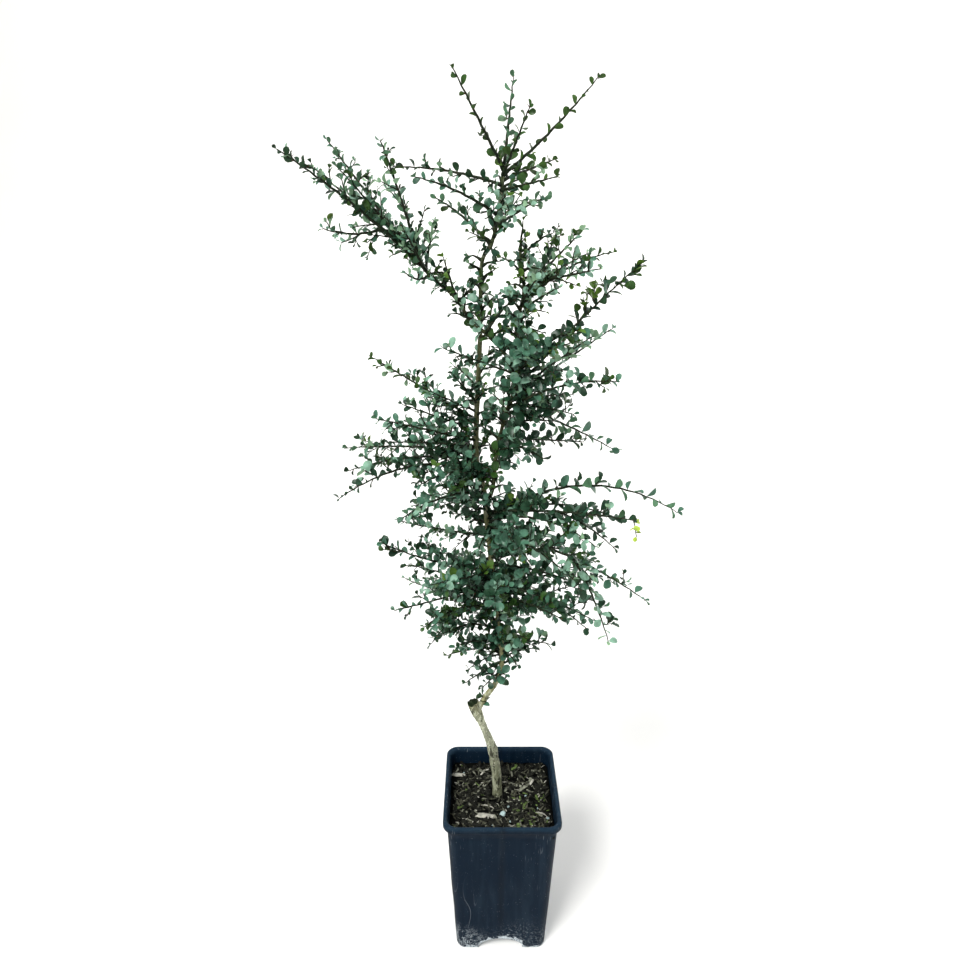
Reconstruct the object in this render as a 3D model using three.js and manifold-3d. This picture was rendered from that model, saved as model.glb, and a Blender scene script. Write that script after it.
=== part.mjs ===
// A young finger lime in a square plastic pot: a crooked pale trunk that rises out of an old
// broken stub, a second stem that forks into two leaders, and fifty-odd slender leafy shoots.
// Millimetres, +Z up. The origin is the middle of the pot's underside, and the plant is seen
// from the front along +Y, with +X to the right.

import * as THREE from "three";
import { mergeVertices } from "three/addons/utils/BufferGeometryUtils.js";
import Module from "manifold-3d";

const wasm = await Module();
wasm.setup();
const { Manifold } = wasm;

// Driving dimensions of the pot
const POT_HEIGHT = 240;
const RIM_WIDTH = 160;
const WALL_TOP_WIDTH = 150;
const FOOT_WIDTH = 128;
const WALL = 2;
const CORNER_RADIUS = 13;
const LIP_DEPTH = 10;
const LIP_EDGE = 1.2;
const ARCH_WIDTH = 66;
const ARCH_HEIGHT = 18;
const SOIL_LEVEL = 215;

// Clearances, how far a root may be drawn out of its bearer, and how far a cut reaches past
// a face or a leaf into its stem's tip
const GAP = 0.3;
const LEAF_GAP = 0.4;
const SEAT_REACH = 14;
const SEAT_ROUNDS = 8;
const SINK = 5;
const TIP_SINK = 2;

// Sizes of the growth
const SEED = 20;
const STEM_STEP = 38;
const STEM_SIDES = 3;
const LIMB_SIDES = 6;
const STEM_TIP_RADIUS = 0.75;
const TWIG_RADIUS = 0.95;
const TWIG_ANGLE = 52;
const TWIG_EVERY = 4;
const TWIG_TAPER = 0.5;
const LEAF_ANGLE = 58;
const LEAF_WIDTH = 0.68;
const LEAF_THICKNESS = 0.06;
const GOLDEN_TURN = 137.5;
const UP_PULL = 0.18;

// The limbs: bends as [x, y, z] and half thickness as [height, radius]
const STUB_BENDS = [
  [-5, 10, 215.3], [-6, 10, 245], [-9, 9, 270], [-13, 7, 298],
  [-19, 4, 320], [-29, 1, 350], [-34, 0, 364], [-39, -2, 381],
];
const STUB_GIRTH = [[215, 9], [226, 7], [300, 5.6], [345, 4], [366, 5.2], [381, 6]];
const HOLLOW_RADIUS = 3.6;
const HOLLOW_DEPTH = 7;
const STEM_BENDS = [
  [-34, -1, 366], [-24, -3, 389], [-10, -2, 411], [-5, 0, 424], [-1, 2, 440], [0, 2, 456],
  [-8, 2, 501], [-6, 3, 516], [-12, 4, 555], [-19, 1, 625], [-24, 0, 675], [-26, 0, 690],
  [-34, 2, 725], [-34, 3, 780], [-30, 2, 868], [-29, 2, 930], [-27, 1, 956], [-18, 0, 971],
  [-10, 0, 1004], [-5, 0, 1048],
];
const STEM_GIRTH = [[366, 3.9], [460, 3.4], [760, 3.4], [930, 2.4], [1048, 1.4]];
const RIGHT_BENDS = [
  [-23, -1, 674], [-15, -9, 692], [-13, -13, 722], [-7, -18, 760], [-1, -22, 788], [7, -25, 812],
  [8, -25, 828], [10, -25, 846], [10, -22, 884], [16, -20, 916], [17, -20, 934],
  [12, -20, 966],
];
const RIGHT_GIRTH = [[674, 2.5], [830, 2], [966, 1.2]];
const LEFT_BENDS = [
  [9, -25, 845], [-2, -26, 857], [-19, -26, 876], [-35, -25, 889], [-46, -22, 902],
  [-54, -20, 914], [-72, -16, 930], [-83, -14, 939], [-95, -12, 952], [-106, -10, 962],
];
const LEFT_GIRTH = [[844, 1.8], [914, 1.6], [962, 1.1]];

// The shoots, one mass of foliage each: the limb that bears it, the height it leaves at, its
// compass turn in degrees (0 is right, 90 is back), how far across it reaches, how much it
// rises, how high it arches between its ends, and how long its side twigs are
const SHOOTS = [
  ["top_left", "trunk", 1045, -140, 65, 85, 0, 0],
  ["top_right", "trunk", 1040, 20, 105, 95, -5, 10],
  ["top_back", "trunk", 1045, 80, 65, 95, 0, 15],
  ["top_front", "trunk", 1040, -70, 65, 55, 0, 10],
  ["head_right_back", "trunk", 1035, 50, 95, 25, 0, 15],
  ["head_right_front", "trunk", 1025, -50, 80, 10, 0, 15],
  ["head_right_low", "trunk", 1005, 55, 105, 15, 0, 20],
  ["head_front", "trunk", 990, -70, 90, 20, 0, 20],
  ["head_left_long", "trunk", 1030, 160, 125, 20, 5, 15],
  ["head_left_front", "trunk", 1000, -145, 100, 35, 5, 15],
  ["head_left_low", "trunk", 970, 130, 100, 50, 5, 20],
  ["fan_long", "left_leader", 960, -160, 130, 100, 5, 20,
    { at: 0.25, turn: 155, reach: 75, rise: 0, arch: -5 }],
  ["fan_middle", "left_leader", 955, 140, 135, 125, 0, 20],
  ["fan_upright", "left_leader", 950, -115, 70, 115, 5, 20],
  ["fan_small", "left_leader", 945, 85, 70, 50, 0, 10],
  ["leader_low", "left_leader", 940, -115, 50, 5, -5, 10],
  ["leader_bright", "left_leader", 915, -115, 30, 45, 0, 10],
  ["leader_cross", "left_leader", 880, -35, 40, 40, 5, 15],
  ["right_tip", "right_leader", "tip", -60, 5, 30, 0, 10],
  ["right_high", "right_leader", 925, 40, 90, 60, 0, 20,
    { at: 0.3, turn: 75, reach: 100, rise: 45, arch: 0 }],
  ["right_spread", "right_leader", 910, -20, 95, 55, 10, 20,
    { at: 0.35, turn: -60, reach: 80, rise: 15, arch: 0 }],
  ["right_inner", "right_leader", 885, -75, 40, 25, 0, 15],
  ["bright_long", "right_leader", 815, -15, 130, 140, 5, 30],
  ["right_upper_back", "right_leader", 810, 40, 165, 60, 0, 30],
  ["right_upper_front", "right_leader", 795, -40, 135, 50, 10, 30],
  ["right_drooping", "right_leader", 800, 25, 150, -75, 5, 25],
  ["right_back_low", "right_leader", 760, 45, 160, -40, 0, 30],
  ["front_high", "right_leader", 850, -85, 80, 25, 5, 30],
  ["front_right", "right_leader", 740, -65, 105, 25, 10, 30],
  ["right_longest", "trunk", 650, 5, 240, 0, 40, 25],
  ["right_middle", "trunk", 660, -35, 190, 35, 5, 35,
    { at: 0.5, turn: 10, reach: 70, rise: -50, arch: 5 }],
  ["right_falling", "trunk", 630, -20, 195, -55, 15, 35,
    { at: 0.55, turn: -20, reach: 50, rise: -105, arch: 10 }],
  ["right_low_front", "trunk", 540, -50, 115, 20, 5, 35],
  ["right_low_back", "trunk", 550, 25, 125, -65, 15, 35],
  ["right_back_middle", "trunk", 610, 55, 140, -60, 5, 35],
  ["foot_right_front", "trunk", 480, -65, 70, 40, 5, 25],
  ["foot_right_back", "trunk", 460, 65, 55, -40, 5, 20],
  ["left_tuft", "right_leader", 835, -175, 80, 30, 0, 20],
  ["left_upper_front", "trunk", 795, -115, 60, 45, 0, 25],
  ["left_upper_back", "trunk", 775, 150, 150, 60, 0, 30],
  ["left_level_front", "trunk", 750, -140, 135, 50, 0, 30],
  ["left_long_back", "trunk", 735, 155, 190, -20, 5, 35],
  ["left_long_front", "trunk", 715, -155, 170, -10, 20, 35],
  ["left_front_tuft", "trunk", 700, -110, 105, 45, 5, 30],
  ["left_middle_front", "trunk", 685, -130, 140, 10, 10, 35],
  ["left_middle_back", "trunk", 670, 120, 130, -50, 5, 35],
  ["left_low_front", "trunk", 585, -150, 145, 65, -10, 35],
  ["left_low_back", "trunk", 560, 150, 140, -30, -15, 35],
  ["left_foot_front", "trunk", 520, -135, 125, 30, 15, 30,
    { at: 0.3, turn: 135, reach: 90, rise: -95, arch: 10 }],
  ["foot_left_front", "trunk", 470, -130, 80, 40, 5, 25],
  ["foot_left_back", "trunk", 455, 140, 60, -50, 5, 20],
  ["foot_lowest", "trunk", 430, -135, 35, -10, 0, 10],
  ["front_lower", "trunk", 565, -90, 120, 25, 10, 35],
  ["front_upper", "trunk", 640, -70, 130, 10, 10, 35],
  ["back_lower", "trunk", 530, 90, 125, 35, 10, 35],
];

// Leaves by height of the limb: length of a leaf and the space between two along a stem
const LOWER_CROWN = { below: 860, leaf: 22, spacing: 20 };
const UPPER_CROWN = { leaf: 19, spacing: 20 };

// Colours
const POT_COLOUR = 0x2b3643;
const SOIL_COLOUR = 0x4a3a2c;
const TRUNK_COLOUR = 0xa89a7c;
const BOUGH_COLOUR = 0x5c6040;
const LEAF_COLOUR = 0x4f7568;

const UP = new THREE.Vector3(0, 0, 1);
const ACROSS = new THREE.Vector3(1, 0, 0);

// Geometry and solids
function solidOf(geometry) {
  geometry.deleteAttribute("normal");
  geometry.deleteAttribute("uv");
  const merged = mergeVertices(geometry, 1e-4);
  return new Manifold(
    new wasm.Mesh({
      numProp: 3,
      vertProperties: new Float32Array(merged.attributes.position.array),
      triVerts: new Uint32Array(merged.index.array),
    }),
  );
}

function meshOf(name, solid, colour, roughness) {
  const { numProp, vertProperties, triVerts } = solid.getMesh();
  const positions = [];
  for (let i = 0; i < vertProperties.length; i += numProp) {
    positions.push(vertProperties[i], vertProperties[i + 1], vertProperties[i + 2]);
  }
  const geometry = new THREE.BufferGeometry();
  geometry.setAttribute("position", new THREE.Float32BufferAttribute(positions, 3));
  geometry.setIndex([...triVerts]);
  geometry.computeVertexNormals();
  const material = new THREE.MeshStandardMaterial({ color: colour, roughness, metalness: 0 });
  const mesh = new THREE.Mesh(geometry, material);
  mesh.name = name;
  return mesh;
}

// The largest of a union's bodies is its outside: loose scraps and sealed hollows stay out
function wholeBody(solids) {
  const bodies = Manifold.union(solids).decompose();
  return bodies.reduce((best, body) => (body.volume() > best.volume() ? body : best));
}

// A block with rounded corners whose half width follows [height, half width] levels
function taperedBlock(levels, corner) {
  const unit = levels[0][1];
  const reach = unit - corner;
  const outline = new THREE.Shape();
  outline.absarc(reach, reach, corner, 0, Math.PI / 2);
  outline.absarc(-reach, reach, corner, Math.PI / 2, Math.PI);
  outline.absarc(-reach, -reach, corner, Math.PI, 1.5 * Math.PI);
  outline.absarc(reach, -reach, corner, 1.5 * Math.PI, 2 * Math.PI);
  const steps = levels.length - 1;
  const geometry = new THREE.ExtrudeGeometry(outline, {
    depth: steps,
    steps,
    bevelEnabled: false,
    curveSegments: 3,
  });
  const place = geometry.attributes.position;
  for (let i = 0; i < place.count; i += 1) {
    const [height, half] = levels[Math.round(place.getZ(i))];
    place.setXYZ(i, (place.getX(i) * half) / unit, (place.getY(i) * half) / unit, height);
  }
  return solidOf(geometry);
}

// Two crossing tunnels with arched roofs, from side to side under the pot
function crossingArches(growth) {
  const half = ARCH_WIDTH / 2 + growth;
  const outline = new THREE.Shape();
  outline.moveTo(-half, -SINK);
  outline.lineTo(half, -SINK);
  outline.absellipse(0, 0, half, ARCH_HEIGHT + growth, 0, Math.PI);
  const settings = { depth: RIM_WIDTH, bevelEnabled: false, curveSegments: 4 };
  const along = new THREE.ExtrudeGeometry(outline, settings);
  along.translate(0, 0, -RIM_WIDTH / 2);
  along.rotateX(Math.PI / 2);
  const across = along.clone().rotateZ(Math.PI / 2);
  return solidOf(along).add(solidOf(across));
}

// Half width of the pot's wall at a height, measured outside
function wallHalf(height) {
  const share = height / (POT_HEIGHT - LIP_DEPTH);
  return (FOOT_WIDTH + (WALL_TOP_WIDTH - FOOT_WIDTH) * share) / 2;
}

function makePot() {
  const lipFoot = POT_HEIGHT - LIP_DEPTH;
  const rimHalf = RIM_WIDTH / 2;
  const outside = taperedBlock(
    [
      [0, wallHalf(0) - 4],
      [1, wallHalf(0) - 1.6],
      [4, wallHalf(4)],
      [lipFoot, wallHalf(lipFoot)],
      [lipFoot, rimHalf - LIP_EDGE],
      [lipFoot + LIP_EDGE, rimHalf],
      [POT_HEIGHT - LIP_EDGE, rimHalf],
      [POT_HEIGHT, rimHalf - LIP_EDGE],
    ],
    CORNER_RADIUS,
  );
  const inside = taperedBlock(
    [
      [WALL, wallHalf(0) - WALL],
      [POT_HEIGHT + SINK, wallHalf(POT_HEIGHT + SINK) - WALL],
    ],
    CORNER_RADIUS - WALL,
  );
  const cavity = inside.subtract(crossingArches(WALL));
  const solid = outside.subtract(cavity).subtract(crossingArches(0));
  return meshOf("pot", solid, POT_COLOUR, 0.5);
}

function makeSoil() {
  const filling = taperedBlock(
    [
      [WALL + GAP, wallHalf(0) - WALL - GAP],
      [SOIL_LEVEL, wallHalf(SOIL_LEVEL) - WALL - GAP],
    ],
    CORNER_RADIUS - WALL,
  );
  const solid = filling.subtract(crossingArches(WALL + GAP));
  return meshOf("soil", solid, SOIL_COLOUR, 1);
}

// Small seeded random numbers, the same on every run
function seeded(seed) {
  let state = seed >>> 0;
  return () => {
    state = (state + 0x6d2b79f5) >>> 0;
    let mixed = Math.imul(state ^ (state >>> 15), state | 1);
    mixed ^= mixed + Math.imul(mixed ^ (mixed >>> 7), mixed | 61);
    return ((mixed ^ (mixed >>> 14)) >>> 0) / 4294967296;
  };
}

// Two directions square to a stem's own, and to each other
function sidesOf(direction) {
  const helper = Math.abs(direction.z) > 0.9 ? ACROSS : UP;
  const side = helper.clone().cross(direction).normalize();
  return [side, direction.clone().cross(side)];
}

function valueAt(pairs, height) {
  const next = pairs.findIndex(([level]) => level >= height);
  if (next <= 0) return pairs.at(next)[1];
  const [lowLevel, low] = pairs[next - 1];
  const [highLevel, high] = pairs[next];
  return low + ((high - low) * (height - lowLevel)) / (highLevel - lowLevel);
}

// The rings of a tapering tube through the given points, with the corners of each ring
function ringsAlong(points, radii, sides) {
  const last = points.length - 1;
  const overall = points[last].clone().sub(points[0]).normalize();
  const helper = sidesOf(overall)[0];
  const rings = points.map((point, i) => {
    const before = points[Math.max(i - 1, 0)];
    const after = points[Math.min(i + 1, last)];
    const along = after.clone().sub(before).normalize();
    const over = along.clone().cross(helper).normalize();
    return { point, along, over, side: along.clone().cross(over), radius: radii[i] };
  });
  const corners = rings.map((ring) =>
    polygon(sides).map(({ x, y }) => onRing(ring, x, y)),
  );
  return { rings, corners };
}

// The tube itself, with flat ends. The depth of the extruded section counts the points
function tube(points, radii, sides) {
  const { rings, corners } = ringsAlong(points, radii, sides);
  const steps = points.length - 1;
  const section = new THREE.Shape(polygon(sides));
  const geometry = new THREE.ExtrudeGeometry(section, { depth: steps, steps, bevelEnabled: false });
  const place = geometry.attributes.position;
  for (let i = 0; i < place.count; i += 1) {
    const corner = onRing(rings[Math.round(place.getZ(i))], place.getX(i), place.getY(i));
    place.setXYZ(i, corner.x, corner.y, corner.z);
  }
  return { solid: solidOf(geometry), rings, corners };
}

// The corners of a regular polygon on the unit circle
function polygon(sides) {
  return Array.from({ length: sides }, (_, i) => {
    const turn = (2 * Math.PI * i) / sides;
    return new THREE.Vector2(Math.cos(turn), Math.sin(turn));
  });
}

function onRing({ point, over, side, radius }, x, y) {
  return point.clone().addScaledVector(over, x * radius).addScaledVector(side, y * radius);
}

// Convex blocks that stand for what is already grown, one for each step of a tube
function blocksOfTube({ rings, corners }) {
  return rings.slice(1).map((ring, i) => {
    const low = corners[i];
    const high = corners[i + 1];
    const edges = low.map((corner, k) => high[k].clone().sub(corner).normalize());
    const rim = low.map((corner, k) => low[(k + 1) % low.length].clone().sub(corner).normalize());
    const normals = rim.map((edge, k) => edge.clone().cross(edges[k]).normalize());
    return block([...low, ...high], [...normals, ring.along], [...edges, ...rim]);
  });
}

function block(points, normals, edges) {
  const sphere = new THREE.Sphere().setFromPoints(points);
  return { points, normals, edges, sphere };
}

// True where some direction parts the two blocks by the gap
function apart(a, b, gap) {
  const reach = a.sphere.radius + b.sphere.radius + gap;
  if (a.sphere.center.distanceTo(b.sphere.center) > reach) return true;
  const parts = (axis) => {
    const spanA = a.points.map((point) => point.dot(axis));
    const spanB = b.points.map((point) => point.dot(axis));
    const aboveB = Math.min(...spanA) - Math.max(...spanB);
    const belowB = Math.min(...spanB) - Math.max(...spanA);
    return Math.max(aboveB, belowB) >= gap;
  };
  if (a.normals.some(parts) || b.normals.some(parts)) return true;
  return a.edges.some((edge) =>
    b.edges.some((other) => {
      const axis = edge.clone().cross(other);
      return axis.lengthSq() > 1e-6 && parts(axis.normalize());
    }),
  );
}

// Draws a tube's first point out of what bears it until the gap between them is clear
function seatRoot(points, radii, sides, bearers) {
  const root = points[0].clone();
  const outward = points[1].clone().sub(root).normalize();
  const moveTo = (distance) => points[0].copy(root).addScaledVector(outward, distance);
  let near = 0;
  let far = SEAT_REACH;
  for (let i = 0; i < SEAT_ROUNDS; i += 1) {
    const middle = (near + far) / 2;
    moveTo(middle);
    const blocks = blocksOfTube(ringsAlong(points, radii, sides));
    const isClear = blocks.every((mine) => bearers.every((other) => apart(mine, other, GAP)));
    if (isClear) {
      far = middle;
    } else {
      near = middle;
    }
  }
  moveTo(far);
}

// A smooth line through a limb's bends, with its thickness at each height
function makeLimb(bends, girth, step, bearers) {
  const line = new THREE.CatmullRomCurve3(
    bends.map((bend) => new THREE.Vector3(...bend)),
    false,
    "centripetal",
  );
  const count = Math.round(line.getLength() / step);
  const points = line.getSpacedPoints(count);
  const radii = points.map((point) => valueAt(girth, point.z));
  if (bearers) seatRoot(points, radii, LIMB_SIDES, bearers);
  const drawn = tube(points, radii, LIMB_SIDES);
  return { solid: drawn.solid, points, blocks: blocksOfTube(drawn) };
}

// Where a limb passes a height, or its tip
function spotOn({ points }, at) {
  if (at === "tip") return points.at(-1);
  const next = points.findIndex((point) => point.z >= at);
  const share = (at - points[next - 1].z) / (points[next].z - points[next - 1].z);
  return points[next - 1].clone().lerp(points[next], share);
}

// A curve from a start, by its turn, reach, rise and arch
function reachOut(start, turn, reach, rise, arch) {
  const angle = THREE.MathUtils.degToRad(turn);
  const span = new THREE.Vector3(Math.cos(angle) * reach, Math.sin(angle) * reach, rise);
  return (share) =>
    start
      .clone()
      .addScaledVector(span, share)
      .addScaledVector(UP, arch * 4 * share * (1 - share));
}

// A stem's points, at even steps
function stemPoints(curve) {
  const length = curve(0).distanceTo(curve(0.5)) + curve(0.5).distanceTo(curve(1));
  const steps = Math.max(2, Math.round(length / STEM_STEP));
  const points = Array.from({ length: steps + 1 }, (_, i) => curve(i / steps));
  return { points, length };
}

// A place and direction on a line of points
function alongPoints(points, share) {
  const scaled = share * (points.length - 1);
  const index = Math.min(Math.floor(scaled), points.length - 2);
  const point = points[index].clone().lerp(points[index + 1], scaled - index);
  return { point, along: points[index + 1].clone().sub(points[index]).normalize() };
}

// A direction that leans out from a stem by an angle, all round it by another
function leanOut(along, lean, round) {
  const [side, over] = sidesOf(along);
  const leanAngle = THREE.MathUtils.degToRad(lean);
  const roundAngle = THREE.MathUtils.degToRad(round);
  const out = side.multiplyScalar(Math.cos(roundAngle)).addScaledVector(over, Math.sin(roundAngle));
  return along
    .clone()
    .multiplyScalar(Math.cos(leanAngle))
    .addScaledVector(out, Math.sin(leanAngle))
    .addScaledVector(UP, UP_PULL)
    .normalize();
}

// One leaf: where it is rooted, which way it points and faces, and its length
function plannedLeaf(random, point, along, round, size) {
  const lean = LEAF_ANGLE + 24 * (random() - 0.5);
  const direction = leanOut(along, lean, round + 40 * (random() - 0.5));
  const facing = new THREE.Vector3(random() - 0.5, random() - 0.8, random() - 0.1);
  facing.addScaledVector(direction, -facing.dot(direction)).normalize();
  return { point, direction, facing, length: size * (0.82 + 0.34 * random()) };
}

// Leaves all the way along a stem, each a golden turn round from the last, and one at the tip
function plannedLeaves(random, points, length, spacing, size) {
  const count = Math.max(2, Math.round(length / spacing));
  const phase = 360 * random();
  const leaves = [];
  for (let i = 1; i <= count; i += 1) {
    const share = i / (count + 0.4);
    const { point, along } = alongPoints(points, share);
    const young = 1 - 0.3 * share ** 3;
    const round = phase + i * GOLDEN_TURN;
    leaves.push({ share, round, ...plannedLeaf(random, point, along, round, size * young) });
  }
  const { point, along } = alongPoints(points, 1);
  const end = plannedLeaf(random, point, along, phase, 0.7 * size);
  end.direction.add(along).normalize();
  end.point.addScaledVector(along, -TIP_SINK);
  end.facing.addScaledVector(end.direction, -end.facing.dot(end.direction)).normalize();
  leaves.push({ share: 1, round: phase, ...end });
  return leaves;
}

// Side twigs out of every few leaf roots of a stem, shorter towards its tip
function plannedTwigs(random, points, leaves, reach, spacing, size) {
  const twigs = [];
  leaves.forEach((leaf, i) => {
    if (i % TWIG_EVERY !== 1 || leaf.share > 0.85 || reach === 0) return;
    const { point, along } = alongPoints(points, leaf.share);
    const direction = leanOut(along, TWIG_ANGLE, leaf.round + 30);
    const length = reach * (1 - TWIG_TAPER * leaf.share) * (0.8 + 0.5 * random());
    const end = point.clone().addScaledVector(direction, length);
    const line = [point, end];
    twigs.push({ points: line, leaves: plannedLeaves(random, line, length, spacing, size) });
  });
  return twigs;
}

// A whole shoot: its stem, the fork that some have, their twigs, and every leaf
function plannedShoot(row, index, limbs) {
  const [name, bearer, at, turn, reach, rise, arch, twigReach, fork] = row;
  const random = seeded(SEED + index);
  const root = spotOn(limbs[bearer], at);
  const { leaf, spacing } = root.z < LOWER_CROWN.below ? LOWER_CROWN : UPPER_CROWN;
  const radius = 1 + Math.hypot(reach, rise) / 400;
  const { points } = stemPoints(reachOut(root, turn, reach, rise, arch));
  const bearers = Object.values(limbs).flatMap((limb) => limb.blocks);
  seatRoot(points, stemRadii(points, radius), STEM_SIDES, bearers);
  const length = points[0].distanceTo(points[1]) * (points.length - 1);
  const stems = [{ points, radius, leaves: plannedLeaves(random, points, length, spacing, leaf) }];
  if (fork) {
    const start = alongPoints(points, fork.at).point;
    const line = stemPoints(reachOut(start, fork.turn, fork.reach, fork.rise, fork.arch));
    const leaves = plannedLeaves(random, line.points, line.length, spacing, leaf);
    stems.push({ points: line.points, radius: 0.9 * radius, leaves });
  }
  const twigs = stems.flatMap((stem) =>
    plannedTwigs(random, stem.points, stem.leaves, twigReach, spacing, leaf),
  );
  return { name, stems, twigs, solids: [] };
}

function leafCorners({ point, direction, facing, length }) {
  const side = facing.clone().cross(direction);
  const half = (LEAF_WIDTH * length) / 2;
  const corner = (along, across, above) =>
    point
      .clone()
      .addScaledVector(direction, along * length)
      .addScaledVector(side, across * half)
      .addScaledVector(facing, above * length);
  return [
    corner(0, 0, 0),
    corner(0.5, 1, 0),
    corner(0.96, 0.5, 0),
    corner(0.96, -0.5, 0),
    corner(0.5, -1, 0),
    corner(0.55, 0, LEAF_THICKNESS),
  ];
}

// A leaf's flat underside has five corners, and its back rises to a sixth: eight faces
function leafSolid(leaf) {
  const geometry = new THREE.BufferGeometry().setFromPoints(leafCorners(leaf));
  const under = [1, 2, 3, 1, 3, 4, 1, 4, 0];
  const over = [1, 0, 5, 2, 1, 5, 3, 2, 5, 4, 3, 5, 0, 4, 5];
  geometry.setIndex([...under, ...over]);
  return solidOf(geometry);
}

function leafBlock(leaf) {
  const corners = leafCorners(leaf);
  const outline = corners.slice(0, 5);
  const edges = outline.map((corner, i) => outline[(i + 1) % 5].clone().sub(corner).normalize());
  const normals = edges.map((edge) => edge.clone().cross(leaf.facing));
  return block(corners, [leaf.facing, ...normals], edges);
}

function stemRadii(points, radius) {
  const last = points.length - 1;
  return points.map((_, i) => radius + ((STEM_TIP_RADIUS - radius) * i) / last);
}

function stemTube(points, radius) {
  return tube(points, stemRadii(points, radius), STEM_SIDES);
}

// The old stub with its hollow end, and the stem that rises out of its side
function makeTrunk(stub, stem) {
  const end = stub.points.at(-1);
  const inward = stub.points.at(-2).clone().sub(end).normalize();
  const hollow = tube(
    [end.clone().addScaledVector(inward, -1), end.clone().addScaledVector(inward, HOLLOW_DEPTH)],
    [HOLLOW_RADIUS, HOLLOW_RADIUS / 2],
    LIMB_SIDES,
  );
  const solid = wholeBody([stub.solid, stem.solid]).subtract(hollow.solid);
  return meshOf("trunk", solid, TRUNK_COLOUR, 0.9);
}

// Grows every shoot clear of the limbs and of the other shoots: first all the stems, which
// always stay, and then the twigs and leaves that still find room. No leaf touches another
function makeFoliage(limbs, limbBlocks) {
  const shoots = SHOOTS.map((row, index) => plannedShoot(row, index, limbs));
  const taken = limbBlocks.map((limbBlock) => ({ bearer: "limb", block: limbBlock }));
  const isClear = (mine, gap, mayTouch) =>
    taken.every((other) => mayTouch(other) || apart(mine, other.block, gap));

  const growStem = (shoot, drawn) => {
    shoot.solids.push(drawn.solid);
    blocksOfTube(drawn).forEach((mine) => taken.push({ bearer: shoot.name, block: mine }));
  };

  const growTwig = (shoot, twig) => {
    const drawn = stemTube(twig.points, TWIG_RADIUS);
    const isOwn = (other) => other.bearer === shoot.name;
    if (!blocksOfTube(drawn).every((mine) => isClear(mine, GAP, isOwn))) return;
    growStem(shoot, drawn);
    twig.leaves.forEach((leaf) => growLeaf(shoot, leaf));
  };

  const growLeaf = (shoot, leaf) => {
    const mine = leafBlock(leaf);
    const isOwnStem = (other) => other.bearer === shoot.name && !other.isLeaf;
    if (!isClear(mine, LEAF_GAP, isOwnStem)) return;
    shoot.solids.push(leafSolid(leaf));
    taken.push({ bearer: shoot.name, isLeaf: true, block: mine });
  };

  shoots.forEach((shoot) => {
    shoot.stems.forEach((stem) => growStem(shoot, stemTube(stem.points, stem.radius)));
  });
  shoots.forEach((shoot) => {
    shoot.stems.forEach((stem) => stem.leaves.forEach((leaf) => growLeaf(shoot, leaf)));
    shoot.twigs.forEach((twig) => growTwig(shoot, twig));
  });
  return shoots.map(({ name, solids }) =>
    meshOf(`foliage_${name}`, wholeBody(solids), LEAF_COLOUR, 0.55),
  );
}

const stub = makeLimb(STUB_BENDS, STUB_GIRTH, 14);
const trunk = makeLimb(STEM_BENDS, STEM_GIRTH, 26);
const rightLeader = makeLimb(RIGHT_BENDS, RIGHT_GIRTH, 22, trunk.blocks);
const leftLeader = makeLimb(LEFT_BENDS, LEFT_GIRTH, 16, rightLeader.blocks);
const limbs = { trunk, right_leader: rightLeader, left_leader: leftLeader };
const limbBlocks = [stub, trunk, rightLeader, leftLeader].flatMap((limb) => limb.blocks);

const fingerLime = new THREE.Group();
fingerLime.add(
  makePot(),
  makeSoil(),
  makeTrunk(stub, trunk),
  meshOf("bough_right", rightLeader.solid, BOUGH_COLOUR, 0.8),
  meshOf("bough_left", leftLeader.solid, BOUGH_COLOUR, 0.8),
  ...makeFoliage(limbs, limbBlocks),
);

export default fingerLime;
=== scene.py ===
# A young finger lime in its square nursery pot: the moulded pot, the bark mix in it, the barked
# trunk with its two leaders, and the thorny leafy shoots. Plans are in millimetres, and finished
# meshes are in metres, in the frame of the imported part.

import math
from random import Random

import bmesh
import bpy
import numpy as np
from mathutils import Matrix, Vector, noise
from mathutils.geometry import interpolate_bezier


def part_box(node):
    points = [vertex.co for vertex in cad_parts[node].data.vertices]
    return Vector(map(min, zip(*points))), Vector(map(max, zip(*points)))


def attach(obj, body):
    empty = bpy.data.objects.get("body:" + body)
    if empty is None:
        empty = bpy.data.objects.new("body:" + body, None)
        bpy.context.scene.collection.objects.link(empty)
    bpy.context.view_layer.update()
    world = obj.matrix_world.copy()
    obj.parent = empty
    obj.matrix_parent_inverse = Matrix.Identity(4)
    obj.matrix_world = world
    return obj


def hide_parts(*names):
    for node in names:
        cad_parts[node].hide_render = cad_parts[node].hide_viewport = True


bl_info = {
    "name": "Potted Finger Lime",
    "version": (1, 0, 0),
    "blender": (4, 5, 0),
    "location": "View3D > Sidebar > Finger Lime",
    "description": "Builds a young finger lime growing in a square nursery pot",
    "category": "Object",
}

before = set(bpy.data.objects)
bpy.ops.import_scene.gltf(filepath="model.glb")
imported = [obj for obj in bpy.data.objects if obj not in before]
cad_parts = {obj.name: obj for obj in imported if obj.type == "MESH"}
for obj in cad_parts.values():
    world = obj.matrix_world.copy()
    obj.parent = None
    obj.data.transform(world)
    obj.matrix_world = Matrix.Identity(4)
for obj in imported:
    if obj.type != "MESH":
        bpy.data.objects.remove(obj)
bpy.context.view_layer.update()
RIM_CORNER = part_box("pot")[1]
SOIL_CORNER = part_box("soil")[1]
FOLIAGE_NODES = sorted(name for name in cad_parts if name.startswith("foliage_"))

MM = 0.001
UP = Vector((0, 0, 1))
ACROSS = Vector((1, 0, 0))
GOLDEN_TURN = 137.5

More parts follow.
